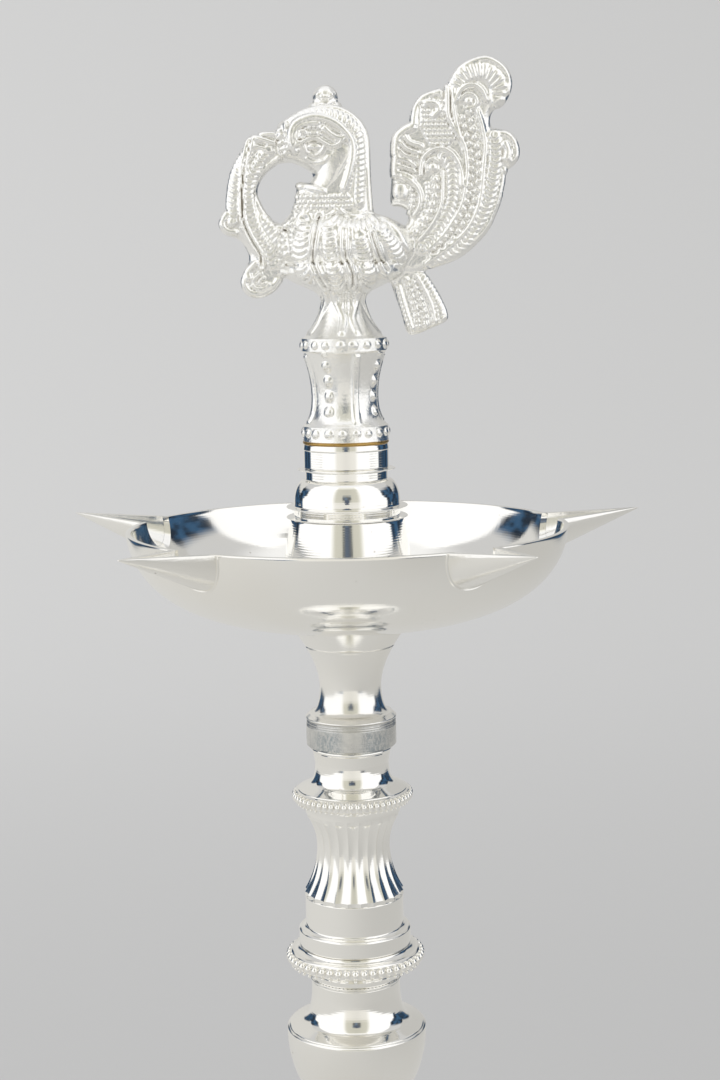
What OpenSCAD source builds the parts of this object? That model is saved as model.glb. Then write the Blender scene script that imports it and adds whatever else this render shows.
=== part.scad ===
// Standing oil lamp with five wick spouts and a crested-bird finial.
// Turned brass pieces are stacked on one tie rod, the neck screws onto the rod's upper end,
// and the finial screws into the neck. The origin is on the floor under the lamp's axis.

/* [Base] */
// Diameter of the foot ring that stands on the table
base_d = 184; // [181:1:230]
// Height of the base casting
base_h = 70; // [55:1:100]
// Wall of the hollow base casting
base_wall = 3; // [2:0.5:5]
// Height of the upright foot ring
base_rim_h = 7; // [5:0.5:12]
// Diameter of the base's upper neck
base_neck_d = 44; // [40:1:60]

/* [Tie rod] */
// Diameter of the tie rod over its thread
rod_d = 10; // [8:0.5:11]
// Pitch of the tie rod's thread
rod_pitch = 1.5; // [1:0.25:2]
// Turns that free the neck from the rod
neck_turns = 16; // [6:1:16]
// Width across the flats of the nut under the base
nut_flats = 17; // [15:1:22]
// Height of the nut
nut_h = 8; // [6:0.5:10]
// Diameter of the washer over the nut
washer_d = 26; // [24:1:32]
// Thickness of that washer
washer_t = 2; // [1.5:0.5:3]

/* [Lower stem] */
// Diameter of the beaded ring on the base, over its beads
base_ring_d = 50; // [46:1:60]
// Height of that ring
base_ring_h = 5; // [4:0.5:8]
// Height of the baluster
baluster_h = 55; // [45:1:80]
// Diameter of the baluster's belly
baluster_d = 40; // [36:1:48]
// Height of the plain ring over the baluster
plain_ring_h = 8; // [6:0.5:12]
// Diameter of the plain ring
plain_ring_d = 35; // [32:1:44]
// Height of the lower fluted spool
lower_flute_h = 30; // [26:1:40]
// Diameter of the beaded ring under the urn, over its beads
urn_ring_d = 35; // [33:1:42]
// Height of that ring
urn_ring_h = 5; // [4:0.5:8]
// Height of the spool that carries the urn
urn_stem_h = 19; // [15:1:28]
// Height of the urn
urn_h = 26.5; // [22:0.5:36]
// Diameter of the urn at its shoulder
urn_d = 41.6; // [38:0.2:46]
// Diameter of the urn's foot
urn_foot_d = 19; // [17:0.5:23]

/* [Upper stem] */
// Height of the coved spool on the urn
cove_spool_h = 14; // [11:0.5:20]
// Diameter of the coved spool's drum
cove_spool_d = 26.4; // [24:0.2:30]
// Height of the lower beaded ring
lower_bead_ring_h = 11; // [10:0.2:16]
// Diameter of the lower beaded ring, over its beads
lower_bead_ring_d = 41.4; // [38.4:0.2:44]
// Height of the stepped collar
collar_h = 15.1; // [13:0.1:20]
// Diameter of the stepped collar
collar_d = 33.2; // [32:0.2:36]
// Height of the fluted spool
flute_h = 25.4; // [24:0.2:38]
// Diameter of a fluted spool at its foot
flute_foot_d = 29.4; // [27:0.2:31]
// Diameter of a fluted spool at its waist
flute_waist_d = 21.6; // [20:0.2:24]
// Diameter of a fluted spool at its head
flute_head_d = 27; // [25:0.2:29]
// Flutes round a spool
flutes = 24; // [16:1:28]
// Depth of a flute
flute_depth = 0.8; // [0.4:0.1:1.2]
// Height of the upper beaded ring
upper_bead_ring_h = 7; // [6:0.2:9]
// Diameter of the upper beaded ring, over its beads
upper_bead_ring_d = 35.8; // [33:0.2:39]
// Diameter of a bead on the stem's other rings
bead_d = 2.2; // [1.8:0.1:2.6]
// Diameter of a bead on the lower beaded ring
lower_bead_d = 2.6; // [2:0.1:3]
// Height of the upper spool
upper_spool_h = 13; // [11:0.5:18]
// Diameter of the upper spool's drum
upper_spool_d = 22.6; // [21:0.2:25]
// Height of the coupling band
band_h = 8.4; // [6:0.2:12]
// Diameter of the coupling band
band_d = 26.4; // [25:0.2:30]
// Height of the stem cup under the bowl
cup_h = 27.7; // [24:0.1:40]
// Diameter of the stem cup's throat
cup_throat_d = 18; // [16.5:0.5:21]
// Diameter of the stem cup's head, which carries the bowl
cup_head_d = 34; // [30:1:38]

/* [Bowl] */
// Diameter of the bowl over its rim
bowl_d = 128; // [116:1:136]
// Depth of the bowl outside, from rim to floor
bowl_h = 28.6; // [24:0.1:34]
// Wall of the bowl
bowl_wall = 1.6; // [1.2:0.1:2.4]
// Distance of a spout's tip from the lamp's axis
spout_reach = 90; // [80:1:90]
// Rise of a spout's tip over the rim
spout_rise = 1.3; // [0:0.1:4]
// Radius of a spout's cone where it leaves the rim
spout_r = 8.2; // [6.5:0.1:9]
// Wall of a spout
spout_wall = 1.8; // [1.2:0.1:2.4]
// Turn of the spouts about the axis
spout_turn = -4; // [-36:1:36]

/* [Neck] */
// Thickness of the oil seal under the neck
seal_t = 1; // [0.6:0.1:2]
// Height of the neck
neck_h = 50.3; // [46:0.1:60]
// Diameter of the neck's foot
neck_foot_d = 43.6; // [40:0.2:48]
// Diameter of the neck at its waist, between its two fins
neck_waist_d = 30.8; // [29:0.2:34]
// Diameter of the neck's upper drum
neck_drum_d = 24.8; // [24:0.2:28]

/* [Finial] */
// Diameter of the finial's threaded stud
stud_d = 8; // [6:0.5:9]
// Pitch of the stud's thread
stud_pitch = 1.25; // [1:0.25:1.5]
// Turns that free the finial from the neck
finial_turns = 10; // [6:1:10]
// Thickness of the brass washer under the finial
gold_t = 0.5; // [0.5:0.1:1.5]
// Diameter of the pedestal's foot
pedestal_d = 25.8; // [24:0.2:28]
// Height of the pedestal under the bird
pedestal_h = 44; // [40:0.5:52]
// Diameter of a bead on the pedestal's rings
pedestal_bead_d = 2.9; // [2.4:0.1:3.2]
// Length of the bird's body from breast to rump
bird_l = 40; // [36:0.5:46]
// Height of the bird from its seat to the top of its tail
bird_h = 64; // [57:0.5:72]
// Thickness of the bird's body from side to side
bird_w = 28; // [22:0.5:34]
// Thickness of the bird's head from side to side
head_w = 16.5; // [14:0.5:20]
// Thickness of the tail and the garland from side to side
plume_w = 9; // [6:0.5:12]

/* [Hidden] */
$fn = 96;
// Gap between the rod and the bores of the fixed pieces, on the diameter
rod_gap = 0.3;
// Gap of a running or screwed fit, on the diameter
thread_gap = 0.16;
// Gap between a spout and the bowl wall that it is soldered to
solder_gap = 0.05;
// Small chamfer on turned edges
edge = 0.5;
// Gap from bead to bead round a ring, and from a bead to the edges of its band
bead_gap = 0.15;
// How far a bead's centre stands proud of its band
bead_proud = 0.2;
// Points along a curve of a turned outline
curve_n = 10;
// Points along the bowl's wall
bowl_n = 22;
// How full the bowl's side and floor are, as superellipse powers
bowl_side = 2.7;
bowl_floor = 2.9;
// Angle along that outline where the rim cuts it, so that the wall leans outwards
bowl_lean = 8;
// Drop of a spout's cone axis from tip to rim
spout_drop = 2;
// Radius left at a spout's point
spout_point = 0.3;
spouts = 5;
// Thread left in the nut under its outer face
rod_tail = 4;
// Room left over a screwed-in end
bore_room = 2;
// Thread still held when a screwed piece is let go
thread_left = 1;

bore_d = rod_d + rod_gap;
bowl_r = bowl_d / 2;
neck_engaged = neck_turns * rod_pitch + thread_left;
stud_engaged = finial_turns * stud_pitch + thread_left;
stud_hold = 12;
// Flared seat under the bird that is brazed to the pedestal
bird_seat_d = 17.2;
bird_seat_h = 4;

// Heights of the stacked faces, from the floor up
z_base_ring = base_h;
z_baluster = z_base_ring + base_ring_h;
z_plain_ring = z_baluster + baluster_h;
z_lower_flute = z_plain_ring + plain_ring_h;
z_urn_ring = z_lower_flute + lower_flute_h;
z_urn_stem = z_urn_ring + urn_ring_h;
z_urn = z_urn_stem + urn_stem_h;
z_cove_spool = z_urn + urn_h;
z_lower_bead = z_cove_spool + cove_spool_h;
z_collar = z_lower_bead + lower_bead_ring_h;
z_flute = z_collar + collar_h;
z_upper_bead = z_flute + flute_h;
z_upper_spool = z_upper_bead + upper_bead_ring_h;
z_band = z_upper_spool + upper_spool_h;
z_cup = z_band + band_h;
z_bowl = z_cup + cup_h;
z_rim = z_bowl + bowl_h;
z_tip = z_rim + spout_rise;
z_seal = z_bowl + bowl_wall;
z_neck = z_seal + seal_t;
z_gold = z_neck + neck_h;
z_pedestal = z_gold + gold_t;
z_bird = z_pedestal + pedestal_h;

silver = [0.88, 0.87, 0.83];
satin = [0.80, 0.79, 0.75];
gold = [0.80, 0.62, 0.30];
steel = [0.55, 0.56, 0.58];
seal_black = [0.12, 0.11, 0.10];

// Quarter curve that leaves a level and reaches b upright, as a cove does
function cove(a, b) = [for (i = [0:curve_n]) let (t = 90 * i / curve_n)
    [a.x + (b.x - a.x) * sin(t), a.y + (b.y - a.y) * (1 - cos(t))]];

// Quarter curve that leaves a upright and reaches b level, as a belly does
function belly(a, b) = [for (i = [0:curve_n]) let (t = 90 * i / curve_n)
    [a.x + (b.x - a.x) * (1 - cos(t)), a.y + (b.y - a.y) * sin(t)]];

// Point of a Bezier curve with any number of control points
function bezier(p, t) = len(p) == 1 ? p[0]
    : bezier([for (i = [0:len(p) - 2]) p[i] * (1 - t) + p[i + 1] * t], t);

// Curve along control points
function bend(p) = [for (i = [0:curve_n]) bezier(p, i / curve_n)];

// Thin turned fin on a wall of radius r, from height z up
function fin(r, z, t, proud) = [[r, z], [r + proud, z + t * 0.3], [r + proud, z + t * 0.7], [r, z + t]];

// Piece turned to an outline from its lower face at 0 up, standing at z and bored through
module turned(outline, z, bore = bore_d) {
    translate([0, 0, z])
        rotate_extrude()
            polygon(concat([[bore / 2, 0]], outline, [[bore / 2, outline[len(outline) - 1].y]]));
}

// Radius of the plain band behind a row of beads, and half its height
function band_r(over_d, d) = over_d / 2 - d / 2 - bead_proud;
function band_half(d) = d / 2 + 2 * bead_gap;

// Row of round beads, as many as fit, that reaches over_d outside
module beads(over_d, d, z) {
    centre_r = over_d / 2 - d / 2;
    count = floor(2 * PI * centre_r / (d + bead_gap));
    for (i = [0:count - 1])
        rotate([0, 0, 360 * i / count])
            translate([centre_r, 0, z])
                sphere(d = d, $fn = 24);
}

// Outline of the base over the floor, shrunk by a wall for the hollow inside
base_step = 8;
base_round = 2;
base_dome_w = 20;
base_dome_h = 13;
base_neck_h = 12;
shoulder_r = base_d / 2 - base_dome_w;
shoulder_h = base_rim_h + base_dome_h;
neck_foot_h = base_h - base_neck_h;
function base_outline() = concat(
    [[base_d / 2, 0]],
    belly([base_d / 2, base_rim_h - base_round], [base_d / 2 - base_round, base_rim_h]),
    belly([base_d / 2 - base_step, base_rim_h], [shoulder_r, shoulder_h]),
    bend([[shoulder_r, shoulder_h], [base_neck_d / 2 + base_step, shoulder_h + base_rim_h],
        [base_neck_d / 2, neck_foot_h]]),
    [[base_neck_d / 2, base_h]]);

module base_foot() {
    hollow = [for (p = base_outline()) [p.x - base_wall, p.y - base_wall]];
    color(silver)
        difference() {
            turned(base_outline(), 0);
            rotate_extrude()
                polygon(concat([[0, -base_wall]], hollow, [[0, base_h - base_wall]]));
        }
}

module base_washer() {
    color(steel)
        turned([[washer_d / 2, 0], [washer_d / 2, washer_t]], base_h - base_wall - washer_t);
}

module base_nut() {
    color(steel)
        translate([0, 0, base_h - base_wall - washer_t - nut_h])
            difference() {
                cylinder(d = nut_flats / cos(30), h = nut_h, $fn = 6);
                translate([0, 0, -edge])
                    cylinder(d = rod_d + thread_gap, h = nut_h + 2 * edge);
            }
}

module tie_rod() {
    rod_foot = base_h - base_wall - washer_t - nut_h - rod_tail;
    rod_head = z_neck + neck_engaged;
    rod_l = rod_head - rod_foot;
    r = rod_d / 2;
    color(steel)
        translate([0, 0, rod_foot])
            rotate_extrude()
                polygon([[0, 0], [r - edge, 0], [r, edge], [r, rod_l - edge], [r - edge, rod_l], [0, rod_l]]);
}

// Flat disc with a row of beads round its edge
module beaded_disc(d, h, z) {
    r = band_r(d, bead_d);
    turned([[r - edge, 0], [r, edge], [r, h - edge], [r - edge, h]], z);
    beads(d, bead_d, z + h / 2);
}

module base_ring() {
    color(silver)
        beaded_disc(base_ring_d, base_ring_h, z_base_ring);
}

// Vase-shaped baluster: foot step, waist, belly, neck and flared head
module baluster() {
    foot_in = 4;
    foot_t = 3;
    head_h = 7;
    swell = 8;
    fall = 10;
    foot = [base_neck_d / 2 - foot_in, foot_t];
    waist = [flute_waist_d / 2, baluster_h * 0.27];
    belly_at = [baluster_d / 2, baluster_h * 0.56];
    neck = [flute_waist_d / 2, baluster_h - head_h];
    head = [flute_foot_d / 2, baluster_h - edge];
    color(satin)
        turned(concat([[foot.x, 0], foot], cove([foot.x - edge, foot.y], waist),
            bend([waist, [waist.x, belly_at.y - swell], [belly_at.x, belly_at.y - swell], belly_at]),
            bend([belly_at, [belly_at.x, belly_at.y + fall], [neck.x, belly_at.y + fall], neck]),
            belly(neck, head), [[head.x, baluster_h]]), z_baluster);
}

module plain_ring() {
    r = plain_ring_d / 2;
    foot_r = flute_foot_d / 2;
    color(silver)
        turned(concat([[foot_r, 0], [foot_r, edge]], belly([r, plain_ring_h * 0.3], [r, plain_ring_h * 0.7]),
            [[foot_r, plain_ring_h - edge], [foot_r, plain_ring_h]]), z_plain_ring);
}

// Waisted spool with flutes cut along its hollow side; the hollow is an arc through head, waist and foot
module fluted(z, h) {
    head_r = flute_head_d / 2;
    waist_r = flute_waist_d / 2;
    foot_r = flute_foot_d / 2;
    rim = 1.2;
    // Arc that is hollow by foot_sag at the foot and by head_sag at the head
    foot_sag = foot_r - waist_r;
    head_sag = head_r - waist_r;
    run = h - 2 * rim;
    waist_z = rim + run * sqrt(foot_sag) / (sqrt(foot_sag) + sqrt(head_sag));
    arc_r = (pow(waist_z - rim, 2) + pow(foot_sag, 2)) / (2 * foot_sag);
    flute_r = PI * waist_r / flutes * 0.92;
    sweep = asin(min(1, (waist_z - rim) / arc_r)) + 4;
    difference() {
        turned([[foot_r, 0], [foot_r, rim], [foot_r, rim + edge], [head_r, h - rim], [head_r, h]], z);
        translate([0, 0, z + waist_z])
            rotate_extrude()
                translate([waist_r + arc_r, 0])
                    circle(r = arc_r);
        for (i = [0:flutes - 1])
            rotate([0, 0, 360 * i / flutes])
                translate([waist_r + arc_r, 0, z + waist_z])
                    rotate([90, 0, 0])
                        rotate([0, 0, 180 - sweep])
                            rotate_extrude(angle = 2 * sweep)
                                translate([arc_r + flute_r - flute_depth, 0])
                                    circle(r = flute_r, $fn = 32);
    }
}

module lower_fluted_spool() {
    color(satin)
        fluted(z_lower_flute, lower_flute_h);
}

module urn_ring() {
    color(silver)
        beaded_disc(urn_ring_d, urn_ring_h, z_urn_ring);
}

module urn_stem() {
    foot_r = flute_head_d / 2;
    waist_in = 1.5;
    waist = [urn_foot_d / 2 - waist_in, urn_stem_h * 0.55];
    head = [urn_foot_d / 2, urn_stem_h - edge];
    color(silver)
        turned(concat([[foot_r, 0]], cove([foot_r, edge * 2], waist), belly(waist, head),
            [[head.x, urn_stem_h]]), z_urn_stem);
}

// Egg-shaped cup that narrows to its foot under a sharp shoulder
module urn_body() {
    lip = 1.5;
    r = urn_d / 2;
    foot_r = urn_foot_d / 2;
    // Angle on the egg's outline where it meets the foot
    low = acos(foot_r / r);
    deep = (urn_h - lip) / sin(low);
    side = [for (i = [0:2 * curve_n]) let (t = low * (1 - i / (2 * curve_n)))
        [r * cos(t), urn_h - lip - deep * sin(t)]];
    color(satin)
        turned(concat(side, [[r, urn_h - edge], [r - edge, urn_h]]), z_urn);
}

module cove_spool() {
    r = cove_spool_d / 2;
    lip_r = urn_d / 2 - edge;
    lip_t = 1.5;
    side = cove([lip_r - edge, lip_t], [r, cove_spool_h * 0.69]);
    color(silver)
        turned(concat([[lip_r, 0]], side, [[r, cove_spool_h]]), z_cove_spool);
}

module lower_bead_ring() {
    bead = lower_bead_d;
    r = band_r(lower_bead_ring_d, bead);
    half = band_half(bead);
    lip_h = 1.2;
    bead_z = lower_bead_ring_h - lip_h - edge - half;
    color(silver) {
        turned(concat([[cove_spool_d / 2, 0]],
            belly([cove_spool_d / 2 + edge, edge], [r - edge, bead_z - half - edge]),
            [[r, bead_z - half], [r, bead_z + half]],
            cove([r - edge, bead_z + half + edge], [collar_d / 2, lower_bead_ring_h])), z_lower_bead);
        beads(lower_bead_ring_d, bead, z_lower_bead + bead_z);
    }
}

// Two plain drums, the narrow one over the wide one, with a small cove in the step
module stepped_collar() {
    step_h = 4.9;
    cove_h = 0.9;
    r = collar_d / 2;
    drum_r = (flute_foot_d - rod_gap) / 2;
    color(silver)
        turned(concat([[r, 0], [r, step_h]],
            cove([r - edge, step_h + edge], [drum_r, step_h + edge + cove_h]), [[drum_r, collar_h]]),
            z_collar);
}

module fluted_spool() {
    color(satin)
        fluted(z_flute, flute_h);
}

module upper_bead_ring() {
    r = band_r(upper_bead_ring_d, bead_d);
    half = band_half(bead_d);
    bead_z = upper_bead_ring_h - half - edge;
    color(silver) {
        turned(concat(belly([flute_head_d / 2 + edge, 0], [r - edge, bead_z - half - edge]),
            [[r, bead_z - half], [r, bead_z + half], [r - edge, upper_bead_ring_h]]), z_upper_bead);
        beads(upper_bead_ring_d, bead_d, z_upper_bead + bead_z);
    }
}

// Sloping lip, cove and a drum that widens a little to a small round ring at its head
module upper_spool() {
    r = upper_spool_d / 2;
    lip_r = band_r(upper_bead_ring_d, bead_d) - edge;
    lip = [r + 3 * edge, 3 * edge];
    throat = [r - edge, upper_spool_h * 0.61];
    ring_h = 1.6;
    ring = [for (i = [0:curve_n]) let (t = 180 * i / curve_n)
        [r + edge * sin(t), upper_spool_h - ring_h / 2 * (1 + cos(t))]];
    color(silver)
        turned(concat([[lip_r, 0]], cove(lip, throat), ring), z_upper_spool);
}

module coupling_band() {
    r = band_d / 2;
    color(satin)
        turned([[r - edge, 0], [r, edge], [r, band_h - edge], [r - edge, band_h]], z_band);
}

// Trumpet cup: bright lip, hollow cove to the throat, then a flare that carries the bowl
module stem_cup() {
    lip_t = 0.9;
    throat = [cup_throat_d / 2, cup_h * 0.34];
    head = [cup_head_d / 2, cup_h - edge];
    lip_r = (band_d + rod_gap) / 2;
    flare = bend([throat, [throat.x + rod_gap, cup_h * 0.62], head]);
    color(satin)
        turned(concat([[lip_r, 0]], cove([lip_r, lip_t], throat), flare, [[head.x, cup_h]]), z_cup);
}

// Share of the bowl's depth at an angle along its outline
function bowl_depth(t) = pow(sin(t), 2 / bowl_floor);

// Bowl wall as a superellipse from the rim down to the axis
function bowl_side_points(r, h) = [for (i = [0:bowl_n]) let (t = bowl_lean + (90 - bowl_lean) * i / bowl_n)
    [r * pow(cos(t) / cos(bowl_lean), 2 / bowl_side),
    -h * (bowl_depth(t) - bowl_depth(bowl_lean)) / (1 - bowl_depth(bowl_lean))]];

// Solid inside the bowl's outer face, grown by a gap, as a cutter for what is soldered to it
module bowl_form(grow) {
    r = bowl_r + grow;
    translate([0, 0, z_rim])
        rotate_extrude()
            polygon(concat(bowl_side_points(r, bowl_h + grow), [[0, bowl_h], [r, bowl_h]]));
}

// Cone of a spout from its tip inwards; shift moves the point back along the axis
module spout_cone(shift, l) {
    run = spout_reach - bowl_r;
    dip = atan(spout_drop / run);
    spread = spout_r / norm([run, spout_drop]);
    translate([spout_reach, 0, z_tip])
        rotate([0, -90 - dip, 0])
            translate([0, 0, shift])
                cylinder(h = l, r1 = spout_point, r2 = spout_point + l * spread);
}

// Hollow of a spout, which also cuts the notch in the bowl's wall
module spout_hollow() {
    run = spout_reach - bowl_r;
    spread = atan(spout_r / norm([run, spout_drop]));
    spout_cone((spout_wall + spout_point) / sin(spread), run + spout_r);
}

// Everything over the sloping top edges of a spout
module spout_top() {
    run = spout_reach - bowl_r;
    translate([spout_reach, 0, z_tip])
        rotate([0, -atan(spout_rise / run), 0])
            translate([-bowl_r, -bowl_r / 2, 0])
                cube([bowl_d, bowl_r, bowl_r]);
}

module spout_place(i) {
    rotate([0, 0, 360 * i / spouts - 90 + 180 / spouts + spout_turn])
        children();
}

module spout(i) {
    color(silver)
        difference() {
            spout_place(i)
                difference() {
                    spout_cone(0, spout_reach - bowl_r + spout_r);
                    spout_hollow();
                    spout_top();
                }
            bowl_form(solder_gap);
        }
}

module bowl() {
    outer = bowl_side_points(bowl_r, bowl_h);
    inner = bowl_side_points(bowl_r - bowl_wall, bowl_h - bowl_wall);
    color(silver)
        difference() {
            union() {
                translate([0, 0, z_rim])
                    rotate_extrude()
                        polygon(concat(outer, [for (i = [bowl_n:-1:0]) inner[i]]));
                translate([0, 0, z_bowl])
                    cylinder(d = cup_head_d, h = bowl_wall / 2);
            }
            translate([0, 0, z_bowl - edge])
                cylinder(d = rod_d + thread_gap, h = bowl_h);
            translate([0, 0, z_seal])
                cylinder(d = neck_foot_d + 2 * edge, h = bowl_h);
            for (i = [0:spouts - 1])
                spout_place(i)
                    spout_hollow();
        }
}

module oil_seal() {
    color(seal_black)
        turned([[neck_foot_d / 2 - edge, 0], [neck_foot_d / 2 - edge, seal_t]], z_seal);
}

// Bell-shaped neck with two thin turned fins, a rounded shoulder, a throat, a fine ring and a drum
module neck_column() {
    drum_h = 7.1;
    ring_t = 0.8;
    ring_proud = 1.8;
    throat_h = 2.4;
    shoulder_h = 6.8;
    fin_t = 0.8;
    fin_proud = 2.2;
    fin_step = 3;
    foot_r = neck_foot_d / 2;
    waist_r = neck_waist_d / 2;
    drum_r = neck_drum_d / 2;
    ring_r = drum_r + ring_proud;
    drum_z = neck_h - drum_h;
    throat = [drum_r - edge, drum_z - ring_t - throat_h];
    shoulder_z = throat.y - shoulder_h;
    fin_z = shoulder_z - 2 * fin_t;
    bell = [waist_r + 2 * fin_t, neck_h * 0.28];
    color(silver)
        difference() {
            turned(concat([[foot_r, 0]],
                bend([[foot_r, 2 * edge], bell, [waist_r, fin_z - fin_step]]),
                fin(waist_r, fin_z - fin_step, fin_t, fin_proud), fin(waist_r, fin_z, fin_t, fin_proud),
                belly([waist_r, shoulder_z], throat),
                fin(throat.x, drum_z - ring_t, ring_t, ring_r - throat.x),
                [[drum_r, drum_z], [drum_r, neck_h - edge], [drum_r - edge, neck_h]]), z_neck, 0);
            translate([0, 0, z_neck - edge])
                cylinder(d = rod_d + thread_gap, h = neck_engaged + bore_room + edge);
            translate([0, 0, z_gold - stud_engaged - bore_room])
                cylinder(d = stud_d + thread_gap, h = stud_engaged + bore_room + edge);
        }
}

module finial_washer() {
    r = pedestal_d / 2 - edge;
    color(gold)
        turned([[r, 0], [r, gold_t]], z_gold, stud_d + 2 * thread_gap);
}

module finial_stud() {
    r = stud_d / 2;
    stud_l = stud_engaged + gold_t + stud_hold;
    color(steel)
        translate([0, 0, z_gold - stud_engaged])
            rotate_extrude()
                polygon([[0, 0], [r - edge, 0], [r, edge], [r, stud_l], [0, stud_l]]);
}

// Waisted pedestal with a row of beads at its foot and at its head, drawn in to a calyx under the bird
module finial_pedestal() {
    foot_r = pedestal_d / 2;
    beads_out = 0.6;
    r = foot_r - beads_out;
    half = band_half(pedestal_bead_d);
    low_z = half + 2 * edge;
    high_z = pedestal_h * 0.63;
    waist_in = 3.1;
    throat_in = 2.7;
    throat_h = 4.2;
    waist = [r - waist_in, pedestal_h * 0.29];
    throat = [bird_seat_d / 2 - throat_in, pedestal_h - throat_h];
    color(silver)
        difference() {
            union() {
                turned(concat([[foot_r - edge, 0], [foot_r - edge, edge], [r, 2 * edge], [r, low_z + half]],
                    bend([[r - edge, low_z + half + edge], [waist.x, 4 * half], waist]),
                    bend([waist, [waist.x, high_z - 5 * half], [r - edge, high_z - half - edge]]),
                    [[r, high_z - half], [r, high_z + half]],
                    bend([[r - edge, high_z + half], [throat.x + edge, high_z + 3.6 * half], throat]),
                    bend([throat, [throat.x + edge, pedestal_h - throat_h / 3],
                    [bird_seat_d / 2, pedestal_h]])), z_pedestal, 0);
                beads(pedestal_d, pedestal_bead_d, z_pedestal + low_z);
                beads(pedestal_d, pedestal_bead_d, z_pedestal + high_z);
            }
            translate([0, 0, z_pedestal - edge])
                cylinder(d = stud_d + thread_gap / 2, h = stud_hold + edge + bore_room);
        }
}

// The bird is drawn on squares: this many along its body, and this many up to the top of its tail
body_square_count = 40;
tail_square_count = 64;
square_x = bird_l / body_square_count;
square_z = bird_h / tail_square_count;

// Tapered limb in the bird's upright plane: path and radii are control points on the squares,
// and half is its half thickness from side to side at its middle
limb_rings = 14;
limb_sides = 12;
limb_blunt = 0.06;
module limb(path, radii, half) {
    step = 1 / limb_rings;
    drawn = [for (p = path) [p.x * square_x, p.y * square_z]];
    deep = half / (bezier(radii, 0.5) * square_z);
    points = [for (i = [0:limb_rings]) let (
        t = i * step,
        at = bezier(drawn, t),
        ahead = bezier(drawn, min(1, t + step / 2)) - bezier(drawn, max(0, t - step / 2)),
        side = [-ahead.y, ahead.x] / norm(ahead),
        r = square_z * bezier(radii, t) * pow(sin(180 * (limb_blunt + (1 - 2 * limb_blunt) * t)), 0.35))
        for (k = [0:limb_sides - 1]) let (a = 360 * k / limb_sides)
            [at.x + side.x * r * cos(a), deep * r * sin(a), at.y + side.y * r * cos(a)]];
    last = limb_rings * limb_sides;
    skin = [for (i = [0:limb_rings - 1]) for (k = [0:limb_sides - 1]) let (
        a = i * limb_sides + k,
        b = i * limb_sides + (k + 1) % limb_sides)
        [a, b, b + limb_sides, a + limb_sides]];
    ends = [[for (k = [limb_sides - 1:-1:0]) k], [for (k = [0:limb_sides - 1]) last + k]];
    polyhedron(points, concat(skin, ends));
}

// Crested bird, facing -X, with an upright fan tail, a rump feather and a leaf garland in its beak.
// Path points are squares from the middle of its seat: along X, then up.
module finial_bird() {
    thin = plume_w / 2;
    crest_d = 7.4 * square_z;
    color(silver)
        translate([0, 0, z_bird]) {
            cylinder(d1 = bird_seat_d, d2 = bird_seat_d + 2 * bird_seat_h, h = bird_seat_h);
            // body
            limb([[-20, 17], [-12, 9], [12, 9], [22, 17]], [7, 12, 12, 7], bird_w / 2);
            // neck and head
            limb([[-4, 12], [3, 24], [3, 38], [-7, 46]], [12, 10, 10, 10], head_w / 2);
            // beak
            limb([[-8, 42], [-18, 47], [-26, 39]], [8, 6, 4], thin);
            // garland from the beak down to its leaf, with the sprig that touches the breast
            limb([[-20, 42], [-30, 40], [-25, 26], [-31, 17]], [4, 5, 5, 5], thin);
            limb([[-32, 19], [-22, 16], [-21, 8], [-25, 0]], [4, 6, 6, 5], thin);
            limb([[-28, 19], [-22, 20], [-14, 14]], [4, 4, 6], thin);
            // tail plumes, from the breast side outwards
            limb([[16, 12], [18, 24], [18, 34], [21, 45]], [6, 6, 6, 5], thin);
            limb([[18, 10], [25, 24], [24, 40], [30, 56]], [6, 7, 6, 5], thin);
            limb([[18, 10], [33, 22], [34, 40], [42, 62.6]], [6, 7, 7, 7], thin);
            limb([[18, 10], [38, 14], [37, 32], [46, 41]], [6, 7, 7, 6], thin);
            limb([[12, 8], [30, 5], [42, 16], [41, 32]], [6, 7, 5, 4], thin);
            // rump feather
            limb([[14, 8], [22, 2], [26, -12]], [6, 6, 8], thin);
            // crest
            translate([-4.2 * square_x, 0, 52.2 * square_z])
                sphere(d = crest_d, $fn = 32);
        }
}

base_foot();
base_washer();
base_nut();
tie_rod();
base_ring();
baluster();
plain_ring();
lower_fluted_spool();
urn_ring();
urn_stem();
urn_body();
cove_spool();
lower_bead_ring();
stepped_collar();
fluted_spool();
upper_bead_ring();
upper_spool();
coupling_band();
stem_cup();
bowl();
spout(0);  // spout_1
spout(1);  // spout_2
spout(2);  // spout_3
spout(3);  // spout_4
spout(4);  // spout_5
oil_seal();
neck_column();
finial_washer();
finial_stud();
finial_pedestal();
finial_bird();
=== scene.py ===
import math
import random

import bpy
import numpy as np
from mathutils import Matrix, Vector


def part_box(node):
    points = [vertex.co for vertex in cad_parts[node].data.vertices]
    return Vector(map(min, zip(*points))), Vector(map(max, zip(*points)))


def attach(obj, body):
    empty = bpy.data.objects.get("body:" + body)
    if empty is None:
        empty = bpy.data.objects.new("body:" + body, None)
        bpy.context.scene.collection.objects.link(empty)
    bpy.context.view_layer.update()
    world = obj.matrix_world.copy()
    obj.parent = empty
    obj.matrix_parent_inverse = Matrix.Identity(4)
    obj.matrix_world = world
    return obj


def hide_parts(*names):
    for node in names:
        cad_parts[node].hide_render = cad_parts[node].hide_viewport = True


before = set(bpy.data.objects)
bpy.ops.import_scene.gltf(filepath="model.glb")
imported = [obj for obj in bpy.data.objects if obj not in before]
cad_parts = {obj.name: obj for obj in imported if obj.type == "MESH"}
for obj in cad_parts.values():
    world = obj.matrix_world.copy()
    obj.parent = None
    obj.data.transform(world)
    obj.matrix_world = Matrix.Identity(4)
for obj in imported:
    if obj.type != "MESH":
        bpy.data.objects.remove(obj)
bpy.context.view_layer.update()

mm = 0.001
fullTurn = 2 * math.pi
quarterTurn = math.pi / 2
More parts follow.
